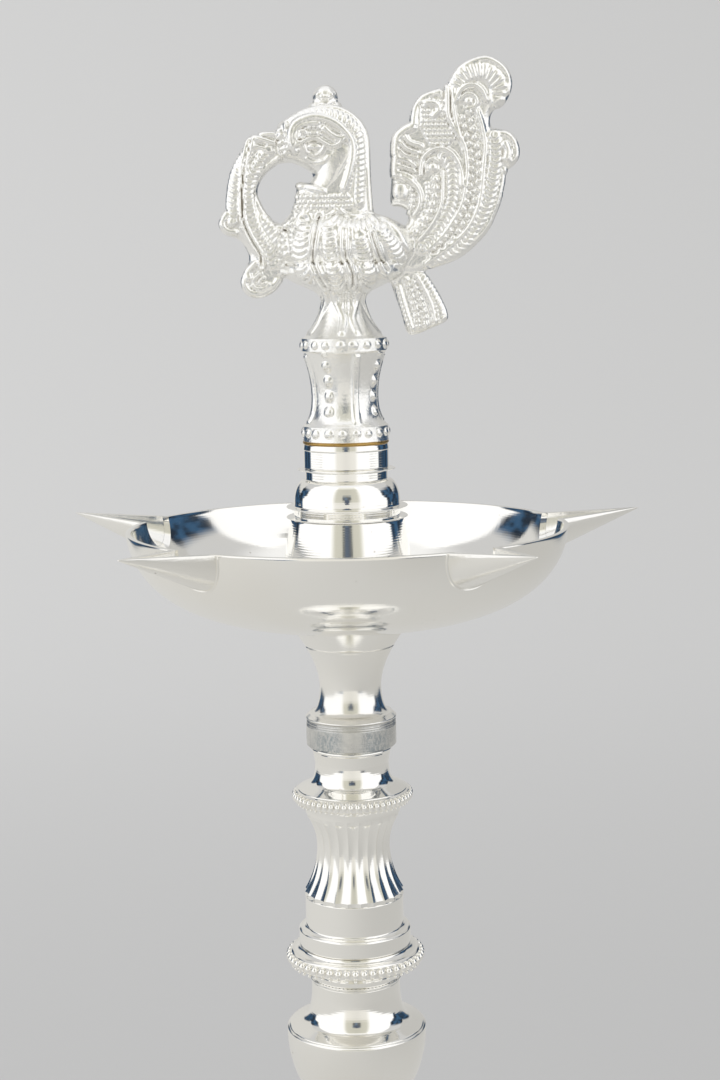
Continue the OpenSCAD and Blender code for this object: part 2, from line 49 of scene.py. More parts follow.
boreRadius = 5.15  # half of the bore that the tie rod passes through
roundSteps = 144  # steps round a turned piece
curveSteps = 20  # points along a quarter curve of a turned outline
cornerAngle = 30  # an edge sharper than this, in degrees, is a corner
mergeReach = 2e-6  # points closer than this, in metres, are one

print("frame loaded,", len(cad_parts), "nodes")


# picking, edit mode and modifiers

def dropSelection():
    if bpy.context.object and bpy.context.object.mode != "OBJECT":
        bpy.ops.object.mode_set(mode="OBJECT")
    bpy.ops.object.select_all(action="DESELECT")


def pick(*objects):
    dropSelection()
    for item in objects:
        item.select_set(True)
    bpy.context.view_layer.objects.active = objects[0]


def editAll(piece):
    pick(piece)
    bpy.ops.object.mode_set(mode="EDIT")
    bpy.ops.mesh.select_all(action="SELECT")


def leaveEdit():
    bpy.ops.object.mode_set(mode="OBJECT")


def closeSkin(piece, reach=mergeReach):
    editAll(piece)
    bpy.ops.mesh.remove_doubles(threshold=reach)
    bpy.ops.mesh.normals_make_consistent(inside=False)
    leaveEdit()


def applyAll(piece):
    pick(piece)
    for modifier in [m.name for m in piece.modifiers]:
        bpy.ops.object.modifier_apply(modifier=modifier)


def smoothByAngle(piece, degrees):
    pick(piece)
    bpy.ops.object.shade_smooth_by_angle(angle=math.radians(degrees))


def easeEdges(piece, width, segments, degrees):
    eased = piece.modifiers.new("eased edges", "BEVEL")
    eased.width = width * mm
    eased.segments = segments
    eased.limit_method = "ANGLE"
    eased.angle_limit = math.radians(degrees)
    applyAll(piece)


def cutBy(piece, *cutters, operation="DIFFERENCE"):
    for cutter in cutters:
        cut = piece.modifiers.new("cut", "BOOLEAN")
        cut.operation = operation
        cut.solver = "EXACT"
        cut.object = cutter
    applyAll(piece)
    return piece


def remeshed(piece, grain):
    merged = piece.modifiers.new("one skin", "REMESH")
    merged.mode = "VOXEL"
    merged.voxel_size = grain * mm
    applyAll(piece)
    return piece


# making, copying and handing over

def linked(name, data):
    made = bpy.data.objects.new(name, data)
    bpy.context.scene.collection.objects.link(made)
    return made


def joinAll(pieces, name):
    pick(*pieces)
    if len(pieces) > 1:
        bpy.ops.object.join()
    joined = bpy.context.object
    joined.name = name
    joined.data.name = name
    return joined


def placed(model, matrices, name):
    # copies of a small model, each with its own mesh, joined into one
    copies = []
    for matrix in matrices:
        copy = model.copy()
        copy.data = model.data.copy()
        copy.data.transform(matrix)
        bpy.context.scene.collection.objects.link(copy)
        copies.append(copy)
    return joinAll(copies, name)


def discard(*models):
    for model in models:
        bpy.data.objects.remove(model)


def settle(piece, body, finish, node):
    piece.data.materials.clear()
    piece.data.materials.append(finish)
    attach(piece, body)
    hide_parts(node)


def drawLine(start, steps):
    # a plane merged to a point, then drawn out step by step; edit mode stays on
    dropSelection()
    bpy.ops.mesh.primitive_plane_add(size=mm)
    bpy.ops.object.mode_set(mode="EDIT")
    bpy.ops.mesh.select_all(action="SELECT")
    bpy.ops.mesh.merge(type="CENTER")
    bpy.ops.transform.translate(value=start)
    for step in steps:
        bpy.ops.mesh.extrude_vertices_move(TRANSFORM_OT_translate={"value": step})
    bpy.ops.mesh.select_all(action="SELECT")
    return bpy.context.object


def drawCurve(name, points, closed=False, **settings):
    # a curve through points in metres, made a mesh
    curve = bpy.data.curves.new(name, "CURVE")
    for key, setting in settings.items():
        setattr(curve, key, setting)
    line = curve.splines.new("POLY")
    line.points.add(len(points) - 1)
    for point, spot in zip(line.points, points):
        point.co = (*spot, 1)
    line.use_cyclic_u = closed
    pick(linked(name, curve))
    bpy.ops.object.convert(target="MESH")
    return bpy.context.object


# curves of turned outlines, in millimetres as (radius, height)

def cove(a, b, steps=curveSteps):
    turn = [quarterTurn * i / steps for i in range(steps + 1)]
    return [(a[0] + (b[0] - a[0]) * math.sin(t), a[1] + (b[1] - a[1]) * (1 - math.cos(t))) for t in turn]


def belly(a, b, steps=curveSteps):
    turn = [quarterTurn * i / steps for i in range(steps + 1)]
    return [(a[0] + (b[0] - a[0]) * (1 - math.cos(t)), a[1] + (b[1] - a[1]) * math.sin(t)) for t in turn]


def alongCurve(points, t):
    while len(points) > 1:
        points = [tuple(p * (1 - t) + q * t for p, q in zip(a, b)) for a, b in zip(points, points[1:])]
    return points[0]


def bend(*points, steps=curveSteps):
    return [alongCurve(list(points), i / steps) for i in range(steps + 1)]


def ridge(radius, height, width, proud):
    half = width / 2
    return [(radius, height - half), (radius + proud * 0.8, height - half * 0.5), (radius + proud, height),
            (radius + proud * 0.8, height + half * 0.5), (radius, height + half)]


def bored(outline, height, bore=boreRadius):
    # the outer outline of a piece, closed along its bore
    return [(bore, 0)] + outline + [(bore, height), (bore, 0)]


def footOf(node):
    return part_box(node)[0].z / mm


def turned(name, outline, foot, steps=roundSteps, soften=0.12):
    # an outline is drawn point by point, spun about the lamp's axis, and its corners are eased
    spots, hold = [outline[0]], soften * 1.5 + 0.15
    for spot in outline[1:]:
        last, gap = spots[-1], math.dist(spot, spots[-1])
        if gap > 1e-4:
            # holding points keep the light straight over a long face with eased ends
            for share in ((hold / gap, 1 - hold / gap) if soften and gap > 4 * hold else ()):
                spots.append((last[0] + (spot[0] - last[0]) * share, last[1] + (spot[1] - last[1]) * share))
            spots.append(spot)
    piece = drawLine((spots[0][0] * mm, 0, (spots[0][1] + foot) * mm),
                     [((b[0] - a[0]) * mm, 0, (b[1] - a[1]) * mm) for a, b in zip(spots, spots[1:])])
    bpy.ops.mesh.spin(steps=steps, angle=fullTurn, center=(0, 0, 0), axis=(0, 0, 1))
    bpy.ops.mesh.select_all(action="SELECT")
    bpy.ops.mesh.remove_doubles(threshold=mergeReach)
    bpy.ops.mesh.dissolve_degenerate(threshold=1e-7)
    bpy.ops.mesh.normals_make_consistent(inside=False)
    leaveEdit()
    piece.name = name
    piece.data.name = name
    if soften:
        easeEdges(piece, soften, 2, cornerAngle)
        closeSkin(piece)
    smoothByAngle(piece, cornerAngle)
    return piece


def flatRing(name, node, sizes, body, slot, finish, **turning):
    outline = bored([(sizes["radius"], 0), (sizes["radius"], sizes["thick"])], sizes["thick"], sizes["bore"])
    settle(turned(name, outline, footOf(node), **turning), body, finish, node)


def beadModel(across, tall=1.0, around=12, up=8):
    dropSelection()
    bpy.ops.mesh.primitive_uv_sphere_add(segments=around, ring_count=up, radius=across / 2 * mm)
    bead = bpy.context.object
    editAll(bead)
    bpy.ops.transform.resize(value=(1, 1, tall))
    leaveEdit()
    bpy.ops.object.shade_smooth()
    return bead


def beadRow(name, across, over, height, count, tall=1.0):
    bead = beadModel(across, tall)
    first = Matrix.Translation(((over - across) / 2 * mm, 0, height * mm))
    row = placed(bead, [Matrix.Rotation(fullTurn * i / count, 4, "Z") @ first for i in range(count)], name)
    discard(bead)
    return row


# shader maths: a value on a socket, and the recipe that it belongs to

class Value:
    def __init__(self, recipe, socket):
        self.recipe = recipe
        self.socket = socket

    def math(self, operation, *others):
        return self.recipe.math(operation, self, *others)

    def __add__(self, other): return self.math("ADD", other)
    def __radd__(self, other): return self.recipe.math("ADD", other, self)
    def __sub__(self, other): return self.math("SUBTRACT", other)
    def __rsub__(self, other): return self.recipe.math("SUBTRACT", other, self)
    def __mul__(self, other): return self.math("MULTIPLY", other)
    def __rmul__(self, other): return self.recipe.math("MULTIPLY", other, self)
    def sine(self): return self.math("SINE")
    def size(self): return self.math("ABSOLUTE")
    def most(self, other): return self.math("MAXIMUM", other)
    def least(self, other): return self.math("MINIMUM", other)

    def between(self, low, high, start=0.0, end=1.0):
        return self.recipe.add("ShaderNodeMapRange", {"interpolation_type": "SMOOTHSTEP"}, {
            "Value": self, "From Min": low, "From Max": high, "To Min": start, "To Max": end})


class Recipe:
    def __init__(self, owner):
        owner.use_nodes = True
        self.owner = owner
        self.tree = owner.node_tree
        self.tree.nodes.clear()

    def node(self, kind, settings=None, inputs=None):
        made = self.tree.nodes.new(kind)
        for key, setting in (settings or {}).items():
            setattr(made, key, setting)
        for key, given in enumerate(inputs) if isinstance(inputs, list) else (inputs or {}).items():
            if isinstance(given, Value):
                self.tree.links.new(given.socket, made.inputs[key])
            else:
                made.inputs[key].default_value = given
        return made

    def add(self, kind, settings=None, inputs=None, out=0):
        return Value(self, self.node(kind, settings, inputs).outputs[out])

    def math(self, operation, *inputs):
        return self.add("ShaderNodeMath", {"operation": operation}, list(inputs))

    def place(self):
        return self.add("ShaderNodeTexCoord", out="Object")

    def along(self, vector, axis):
        return self.add("ShaderNodeSeparateXYZ", None, [vector], out=axis)

    def noise(self, vector, scale, detail=2.0, rough=0.5):
        return self.add("ShaderNodeTexNoise", None,
                        {"Vector": vector, "Scale": scale, "Detail": detail, "Roughness": rough})

    def streaks(self, vector, scales, detail, rough=0.5):
        # noise with a scale of its own along each axis
        drawn = self.add("ShaderNodeMapping", None, {"Vector": vector, "Scale": scales})
        return self.noise(drawn, 1.0, detail, rough)

    def blend(self, factor, a, b):
        return self.add("ShaderNodeMix", {"data_type": "RGBA"}, {0: factor, 6: a, 7: b}, out=2)

    def tint(self, red, green, blue):
        return self.add("ShaderNodeCombineColor", None, [red, green, blue])

    def bump(self, height, strength, deep):
        return self.add("ShaderNodeBump", None, {"Height": height, "Strength": strength, "Distance": deep})

    def glow(self, colour, kind="ShaderNodeEmission"):
        return self.add(kind, None, {"Color": colour, "Strength": 1.0})

    def ray(self, kind):
        return self.add("ShaderNodeLightPath", out=kind)

    def skin(self, colour, gloss, normal, metal=1.0):
        return self.finish(self.add("ShaderNodeBsdfPrincipled", None, {
            "Base Color": colour, "Metallic": metal, "Roughness": gloss, "Normal": normal}))

    def finish(self, shader, kind="ShaderNodeOutputMaterial"):
        self.node(kind, None, {"Surface": shader})
        return self.owner


def newRecipe(name):
    return Recipe(bpy.data.materials.new(name))


# finishes

silverTint = {"bright": (0.965, 0.955, 0.925, 1), "warm": (0.94, 0.92, 0.865, 1),
              "brown": (0.20, 0.13, 0.07, 1)}
latheSizes = {"pitch": 0.7, "deep": 0.00004}  # the pitch in millimetres, the marks' depth in metres


def turnedSilver(name, rough, lines, specks=0.0, scratches=0.25, dents=0.0):
    # silver plate off the lathe: fine rings, light scratches, a faint warm bloom and a few brown specks
    r = newRecipe(name)
    spot = r.place()
    rings = r.streaks(spot, (0.5, 0.5, 2600), 3.0, 0.7)
    turns = r.along(spot, "Z") * (fullTurn / (latheSizes["pitch"] * mm)) + r.noise(spot, 90) * 3
    lathe = rings * 0.6 + (turns.sine() * 0.5 + 0.5) * 0.4
    wipe = r.streaks(spot, (900, 900, 60), 4.0, 0.65)
    bloom = r.noise(spot, 26, 3.0).between(0.45, 0.75)
    fleck = r.add("ShaderNodeTexVoronoi", {"feature": "F1"}, {"Vector": spot, "Scale": 260.0})
    dirt = fleck.between(0.05, 0.11, 1.0, 0.0) * r.noise(spot, 70, 2.0).between(0.60, 0.66) * specks
    colour = r.blend(bloom * 0.55, silverTint["bright"], silverTint["warm"])
    colour = r.blend(dirt, colour, silverTint["brown"])
    gloss = (rough + (wipe - 0.5) * (0.16 * scratches) + bloom * 0.03 + (lathe - 0.5) * (0.05 * lines)
             + dirt * 0.4)
    marks = lathe * lines + wipe * scratches + r.noise(spot, 420, 3.0) * (dents * 6)
    return r.skin(colour, gloss.most(0.03), r.bump(marks, 0.5, latheSizes["deep"]))


# the hollows colour is painted recess shade together with brown toning
castTintAndRecessShade = {"ridges": (1.0, 0.995, 0.975, 1), "hollows": (0.42, 0.37, 0.29, 1), "reach": 0.0014,
            "deep": 0.00016}


def castSilver(name):
    # chased casting: bright on the ridges, the recesses darkened with painted shade from ambient occlusion
    # together with brown toning, and a slightly lumpy skin
    r = newRecipe(name)
    spot = r.place()
    opened = r.add("ShaderNodeAmbientOcclusion", {"samples": 8}, {"Distance": castTintAndRecessShade["reach"]}, out="AO")
    hollow = 1 - opened
    # painted shade: where ambient occlusion finds a recess the colour is darkened and browned, partly shade
    # and partly toning
    tone = hollow.between(0.45, 1.0) * (0.35 + r.noise(spot, 140, 3.0) * 0.8)
    grain = r.noise(spot, 1500, 2.0)
    lumps = r.noise(spot, 620, 2.0)
    cloud = r.noise(spot, 60, 3.0).between(0.4, 0.8)
    colour = r.blend(cloud * 0.5, castTintAndRecessShade["ridges"], silverTint["bright"])
    colour = r.blend(tone.least(1.0), colour, castTintAndRecessShade["hollows"])
    gloss = 0.19 + grain * 0.12 + tone * 0.2
    return r.skin(colour, gloss, r.bump(grain * 0.4 + lumps, 0.6, castTintAndRecessShade["deep"]))


# painted reflections of the dark room lie low on the band, between two distances from its middle, in metres
bandTintAndReflection = {"bright": (0.72, 0.715, 0.69, 1), "dull": (0.58, 0.585, 0.58, 1), "worn": (0.24, 0.31, 0.35, 1),
            "reflectionTop": (0.3085, 0.3115), "reflectionFrom": (0.001, 0.006), "reflectionTo": (0.0085, 0.0125),
            "deep": 0.00007}


def chatteredSilver(name):
    # dull band off a blunt tool: short upright chatter marks over fine rings, with painted reflections of the
    # dark room in patches low on either side
    r = newRecipe(name)
    spot = r.place()
    chatter = r.streaks(spot, (1400, 1400, 330), 4.0, 0.7)
    rings = r.streaks(spot, (1, 1, 3000), 3.0, 0.7)
    dull = r.noise(spot, 210, 4.0, 0.7).between(0.35, 0.65)
    low = r.along(spot, "Z").between(*bandTintAndReflection["reflectionTop"], 1.0, 0.0)
    off = r.along(spot, "X").size()
    side = off.between(*bandTintAndReflection["reflectionFrom"]) * off.between(*bandTintAndReflection["reflectionTo"], 1.0, 0.0) * low
    # painted reflection: these patches turn the band's colour blue-grey, as if it mirrored the dark room
    worn = side * r.streaks(spot, (1500, 1500, 700), 4.0, 0.75).between(0.36, 0.62)
    colour = r.blend(dull * 0.6, bandTintAndReflection["bright"], bandTintAndReflection["dull"])
    colour = r.blend(worn * 0.6, colour, bandTintAndReflection["worn"])
    gloss = 0.16 + dull * 0.1 + chatter * 0.04
    return r.skin(colour, gloss, r.bump(chatter * 0.8 + rings * 0.5, 0.7, bandTintAndReflection["deep"]))


def plainMetal(name, colour, worn, rough):
    r = newRecipe(name)
    spot = r.place()
    cloud = r.noise(spot, 160, 4.0, 0.65)
    scuff = r.streaks(spot, (700, 700, 2200), 3.0)
    shade = r.blend(cloud.between(0.4, 0.75), colour, worn)
    return r.skin(shade, rough + cloud * 0.15, r.bump(scuff, 0.4, latheSizes["deep"]))


rubberTint = {"black": (0.018, 0.017, 0.016, 1), "dusty": (0.075, 0.07, 0.065, 1), "deep": 0.00008}


def sealRubber(name):
    r = newRecipe(name)
    spot = r.place()
    dust = r.noise(spot, 240, 4.0, 0.6).between(0.45, 0.8)
    shade = r.blend(dust * 0.5, rubberTint["black"], rubberTint["dusty"])
    pores = r.bump(r.noise(spot, 1800, 2.0), 0.3, rubberTint["deep"])
    return r.skin(shade, 0.62 + dust * 0.2, pores, metal=0.0)


polished = turnedSilver("polishedSilver", 0.075, 0.35)
bowlSilver = turnedSilver("bowlSilver", 0.085, 0.25, specks=0.3, scratches=0.5)
satin = turnedSilver("satinSilver", 0.15, 0.3, specks=0.8)
spoutSilver = turnedSilver("spoutSilver", 0.2, 0.4, specks=0.4, scratches=0.8, dents=0.5)
neckSilver = turnedSilver("latheLinedSilver", 0.07, 0.5, specks=0.3)
cast = castSilver("castSilver")
chattered = chatteredSilver("chatteredSilver")
brass = plainMetal("bareBrass", (0.60, 0.39, 0.13, 1), (0.40, 0.24, 0.08, 1), 0.25)
steel = plainMetal("zincSteel", (0.56, 0.57, 0.60, 1), (0.42, 0.43, 0.45, 1), 0.3)
rubber = sealRubber("sealRubber")
print("finishes mixed")


# base and lower stem

def stemPiece(name, node, outline, height, finish=polished, slot="polished_silver", **turning):
    settle(turned(name, bored(outline, height), footOf(node), **turning), "stem", finish, node)


def beadedRing(name, node, outline, sizes):
    # a turned ring with beads set in its edge, and small bumps under them where the sizes give some
    s, foot = sizes, footOf(node)
    parts = [turned(name, bored(outline, s["height"]), foot),
             beadRow(name + "Beads", s["bead"], s["over"], foot + s["beadAt"], s["count"], s["tall"])]
    if "bump" in s:
        parts.append(beadRow(name + "Bumps", s["bump"], s["bumpOver"], foot + s["bumpAt"], s["count"]))
    settle(joinAll(parts, name), "stem", polished, node)


baseSizes = {"rim": 92.0, "rimHeight": 7.0, "round": 2.0, "step": 8.0, "shoulder": (72.0, 20.0),
             "neck": 22.0, "neckFoot": 58.0, "height": 70.0, "wall": 3.0}
s = baseSizes
outer = ([(s["rim"], 0)]
         + belly((s["rim"], s["rimHeight"] - s["round"]), (s["rim"] - s["round"], s["rimHeight"]))
         + belly((s["rim"] - s["step"], s["rimHeight"]), s["shoulder"], 32)
         + bend(s["shoulder"], (s["neck"] + s["step"], s["shoulder"][1] + s["rimHeight"]),
                (s["neck"], s["neckFoot"]), steps=48)
         + [(s["neck"], s["height"])])
inner = [(p[0] - s["wall"], max(0.0, p[1] - s["wall"])) for p in outer]
base = turned("baseFoot", outer + [(boreRadius, s["height"]), (boreRadius, s["height"] - s["wall"])]
              + inner[::-1] + [outer[0]], footOf("base_foot"), steps=192, soften=0.3)
settle(base, "stem", polished, "base_foot")

ringSizes = {"bead": 2.2, "tall": 1.25, "beadAt": 2.5, "height": 5.0, "proud": 0.2, "edge": 0.5}
ringPlaces = (("baseRing", "base_ring", 50.0, 63), ("urnRing", "urn_ring", 35.0, 43))
for name, node, over, count in ringPlaces:
    s = dict(ringSizes, over=over, count=count)
    rim, edge = over / 2 - s["bead"] / 2 - s["proud"], s["edge"]
    beadedRing(name, node, [(rim - edge, 0), (rim, edge), (rim, s["height"] - edge),
                            (rim - edge, s["height"])], s)

balusterSizes = {"foot": (18.0, 3.0), "waist": (10.8, 14.85), "belly": (20.0, 30.8), "neck": (10.8, 48.0),
                 "head": (14.7, 54.5), "height": 55.0, "swell": 8.0, "fall": 10.0, "step": 0.5}
s = balusterSizes
stemPiece("baluster", "baluster",
          [(s["foot"][0], 0), s["foot"]] + cove((s["foot"][0] - s["step"], s["foot"][1]), s["waist"])
          + bend(s["waist"], (s["waist"][0], s["belly"][1] - s["swell"]),
                 (s["belly"][0], s["belly"][1] - s["swell"]), s["belly"])
          + bend(s["belly"], (s["belly"][0], s["belly"][1] + s["fall"]),
                 (s["neck"][0], s["belly"][1] + s["fall"]), s["neck"])
          + belly(s["neck"], s["head"]) + [(s["head"][0], s["height"])],
          s["height"], satin, "satin_silver")

plainRingSizes = {"root": 14.7, "crown": 17.5, "height": 8.0, "edge": 0.5, "fullness": 0.7}
s = plainRingSizes
swell = [(s["root"] + (s["crown"] - s["root"]) * math.sin(math.pi * i / 24) ** s["fullness"],
          s["edge"] + (s["height"] - 2 * s["edge"]) * i / 24) for i in range(25)]
stemPiece("plainRing", "plain_ring", [(s["root"], 0)] + swell + [(s["root"], s["height"])], s["height"])

fluteSizes = {"foot": 14.7, "waist": 10.8, "head": 13.5, "rim": 1.2, "waistShare": 0.61, "flutes": 24,
              "deep": 0.52, "fade": 1.6}


def flutedSpool(name, node, height):
    # the spool is turned plain, then each ring of its skin is drawn in along the flutes
    s = fluteSizes
    footSag, headSag = s["foot"] - s["waist"], s["head"] - s["waist"]
    run = height - 2 * s["rim"]
    waistAt = s["rim"] + run * s["waistShare"]
    lowArc = ((waistAt - s["rim"]) ** 2 + footSag ** 2) / (2 * footSag)
    highArc = ((s["rim"] + run - waistAt) ** 2 + headSag ** 2) / (2 * headSag)
    side = []
    for i in range(61):
        z = s["rim"] + run * i / 60
        arc = lowArc if z < waistAt else highArc
        side.append((s["waist"] + arc - math.sqrt(max(0, arc ** 2 - (z - waistAt) ** 2)), z))
    foot = footOf(node)
    outline = bored([(s["foot"], 0)] + side + [(s["head"], height)], height)
    spool = turned(name, outline, foot, steps=s["flutes"] * 12, soften=0)
    for point in spool.data.vertices:
        x, y, z = (c / mm for c in point.co)
        level, radius = z - foot, math.hypot(x, y)
        if radius < boreRadius + 1:
            continue
        angle = math.atan2(y, x) * s["flutes"] / fullTurn
        off = 2 * (angle - round(angle))  # from a flute's middle, -1 to 1 at the arrises
        fade = min(1.0, max(0.0, height - level) / s["fade"]) ** 0.5
        draw = s["deep"] * (1 - off ** 2) * fade
        point.co.x *= (radius - draw) / radius
        point.co.y *= (radius - draw) / radius
    smoothByAngle(spool, 14)
    settle(spool, "stem", satin, node)


flutedSpool("lowerFlutedSpool", "lower_fluted_spool", 30.0)
flutedSpool("flutedSpool", "fluted_spool", 25.4)

urnStemSizes = {"foot": 13.5, "edge": 1.0, "waist": (8.0, 10.45), "head": (9.5, 18.5), "height": 19.0}
s = urnStemSizes
stemPiece("urnStem", "urn_stem",
          [(s["foot"], 0)] + cove((s["foot"], s["edge"]), s["waist"]) + belly(s["waist"], s["head"])
          + [(s["head"][0], s["height"])], s["height"])

urnSizes = {"shoulder": 20.8, "foot": 9.5, "height": 26.5, "lip": 1.5, "edge": 0.5}
s = urnSizes
low = math.acos(s["foot"] / s["shoulder"])
deep = (s["height"] - s["lip"]) / math.sin(low)
egg = [(s["shoulder"] * math.cos(low * (1 - i / 48)),
        s["height"] - s["lip"] - deep * math.sin(low * (1 - i / 48))) for i in range(49)]
stemPiece("urnBody", "urn_body",
          egg + [(s["shoulder"], s["height"] - s["edge"]), (s["shoulder"] - s["edge"], s["height"])],
          s["height"], satin, "satin_silver")
print("base and lower stem turned")


# upper stem

coveSpoolSizes = {"lip": 20.3, "lipEdge": (20.0, 0.35), "lipTop": (16.9, 1.5), "coveFoot": (16.5, 1.7),
                  "drum": 13.2, "coveHead": 11.4, "height": 14.0}
s = coveSpoolSizes
stemPiece("coveSpool", "cove_spool",
          [(s["lip"], 0), s["lipEdge"], s["lipTop"]] + cove(s["coveFoot"], (s["drum"], s["coveHead"]), 28)
          + [(s["drum"], s["height"])], s["height"])

lowerBeadSizes = {"bead": 2.3, "tall": 1.22, "over": 41.4, "band": 19.2, "half": 1.6, "beadAt": 7.7,
                  "root": 13.2, "step": 16.6, "height": 11.0, "count": 48, "bump": 1.1, "bumpOver": 39.2,
                  "bumpAt": 5.5, "edge": 0.5, "ring": (0.9, 0.9, 0.55), "bellyFoot": (0.2, 1.5)}
s = lowerBeadSizes
low, high, edge = s["beadAt"] - s["half"], s["beadAt"] + s["half"], s["edge"]
beadedRing("lowerBeadRing", "lower_bead_ring",
           [(s["root"], 0)] + ridge(s["root"], *s["ring"])
           + belly((s["root"] + s["bellyFoot"][0], s["bellyFoot"][1]), (s["band"] - edge, low - edge))
           + [(s["band"], low), (s["band"], high)]
           + cove((s["band"] - edge, high + edge), (s["step"], s["height"])), s)

collarSizes = {"step": 16.6, "stepHeight": 4.9, "cove": 0.9, "drum": 14.55, "height": 15.1, "edge": 0.5}
s = collarSizes
edge = s["edge"]
stemPiece("steppedCollar", "stepped_collar",
          [(s["step"] - edge, 0), (s["step"], edge), (s["step"], s["stepHeight"])]
          + cove((s["step"] - edge, s["stepHeight"] + edge), (s["drum"], s["stepHeight"] + edge + s["cove"]))
          + [(s["drum"], s["height"])], s["height"])

upperBeadSizes = {"bead": 1.7, "tall": 1.6, "over": 35.8, "band": 16.6, "half": 1.4, "beadAt": 5.1,
                  "root": 14.0, "height": 7.0, "count": 55, "bump": 0.9, "bumpOver": 33.6, "bumpAt": 3.1,
                  "edge": 0.5, "lip": (0.3, 0.4)}
s = upperBeadSizes
low, high, edge, lip = s["beadAt"] - s["half"], s["beadAt"] + s["half"], s["edge"], s["lip"]
beadedRing("upperBeadRing", "upper_bead_ring",
           belly((s["root"], 0), (s["band"] - edge, low - edge)) + [(s["band"], low), (s["band"], high)]
           + [(s["band"] + lip[0], s["height"] - lip[1]), (s["band"] - lip[0], s["height"])], s)

upperSpoolSizes = {"lip": 16.1, "lipEdge": (16.0, 0.25), "lipTop": (12.9, 1.75), "coveFoot": (12.7, 1.9),
                   "throat": (10.85, 7.93), "head": 11.5, "ring": (12.2, 1.5, 0.45), "height": 13.0}
s = upperSpoolSizes
stemPiece("upperSpool", "upper_spool",
          [(s["lip"], 0), s["lipEdge"], s["lipTop"]] + cove(s["coveFoot"], s["throat"], 28)
          + ridge(s["head"], *s["ring"]) + [(s["head"], s["height"])], s["height"])

bandSizes = {"radius": 13.2, "height": 8.4, "edge": 0.5, "rings": (6.85, 7.5), "ringDeep": 0.2,
             "ringHalf": 0.22, "crest": 0.03, "top": 0.05, "plain": 0.4}
s = bandSizes
lines = []
for level in s["rings"]:
    lines += [(s["radius"] - s["ringDeep"], level - s["ringHalf"]), (s["radius"] - s["crest"], level),
              (s["radius"] - s["ringDeep"], level + s["ringHalf"])]
stemPiece("couplingBand", "coupling_band",
          [(s["radius"] - s["edge"], 0), (s["radius"], s["edge"]),
           (s["radius"], s["rings"][0] - s["plain"])] + lines
          + [(s["radius"] - s["top"], s["height"] - s["edge"]), (s["radius"] - s["edge"], s["height"])],
          s["height"], chattered, "satin_silver", soften=0.06)

cupSizes = {"lip": 13.35, "lipEdge": 0.4, "lipTop": (12.15, 1.5), "coveFoot": (11.45, 1.7),
            "throat": (9.0, 9.42), "head": (17.0, 27.2), "height": 27.7, "swell": (9.3, 17.2), "lineAt": 21.2,
            "line": ((0.02, -0.12), (-0.22, 0.1), (0.16, 0.32))}
s = cupSizes
flare = bend(s["throat"], s["swell"], s["head"], steps=40)
lineAt = next(i for i, point in enumerate(flare) if point[1] > s["lineAt"])
lineR, lineZ = flare[lineAt]
flare = flare[:lineAt] + [(lineR + out, lineZ + up) for out, up in s["line"]] + flare[lineAt + 1:]
stemPiece("stemCup", "stem_cup",
          [(s["lip"], 0), (s["lip"], s["lipEdge"]), s["lipTop"]] + cove(s["coveFoot"], s["throat"], 28)
          + flare[1:] + [(s["head"][0], s["height"])], s["height"], satin, "satin_silver")
print("upper stem turned")


# bowl and spouts

bowlSizes = {"rim": 64.0, "deep": 28.6, "wall": 1.6, "side": 2.7, "floor": 2.9, "lean": 8.0, "pad": 17.0,
             "seat": 22.3}
spoutSizes = {"count": 5, "first": -58.0, "reach": 90.0, "tip": 29.9, "root": 8.2, "drop": 2.0, "wall": 1.8,
              "point": 0.3, "rise": 1.3, "gap": 0.05, "solder": 0.4, "filed": 0.22, "block": (60, 30, 20)}
bowlFoot = footOf("bowl")


def bowlSide(radius, deep, steps=60):
    # from the rim down to the axis, a superellipse cut off where its wall still leans outwards
    b = bowlSizes
    lean = math.radians(b["lean"])
    low = math.sin(lean) ** (2 / b["floor"])
    side = []
    for i in range(steps + 1):
        t = lean + (quarterTurn - lean) * i / steps
        reach = radius * (max(math.cos(t), 0) / math.cos(lean)) ** (2 / b["side"])
        side.append((reach, b["deep"] - deep * (math.sin(t) ** (2 / b["floor"]) - low) / (1 - low)))
    return side


b, p = bowlSizes, spoutSizes
run = p["reach"] - b["rim"]
long = run + p["root"]
dip = math.atan2(p["drop"], run)
spread = p["root"] / math.hypot(run, p["drop"])
tipPlace = Matrix.Translation((p["reach"] * mm, 0, (bowlFoot + p["tip"]) * mm))
spoutAxis = tipPlace @ Matrix.Rotation(-quarterTurn - dip, 4, "Y")
hollowBack = (p["wall"] + p["point"]) / math.sin(math.atan(spread))
spoutTurns = [Matrix.Rotation(math.radians(p["first"] + 360 / p["count"] * i), 4, "Z")
              for i in range(p["count"])]


def spoutCone(name, back):
    dropSelection()
    bpy.ops.mesh.primitive_cone_add(vertices=96, radius1=p["point"] * mm,
                                    radius2=(p["point"] + long * spread) * mm, depth=long * mm)
    cone = bpy.context.object
    cone.name = name
    cone.data.transform(spoutAxis @ Matrix.Translation((0, 0, (back + long / 2) * mm)))
    return cone


outer = bowlSide(b["rim"], b["deep"])
inner = bowlSide(b["rim"] - b["wall"], b["deep"] - b["wall"])
outline = bored([(b["pad"], 0)] + [q for q in outer[::-1] if q[0] > b["pad"]]
                + [q for q in inner if q[0] > b["seat"]] + [(b["seat"], b["wall"])], b["wall"])
bowl = turned("bowl", outline, bowlFoot, steps=240, soften=0.3)
hollow = spoutCone("hollow", hollowBack)
hollows = placed(hollow, spoutTurns, "hollows")
cutBy(bowl, hollows)
smoothByAngle(bowl, 24)
settle(bowl, "bowl", bowlSilver, "bowl")

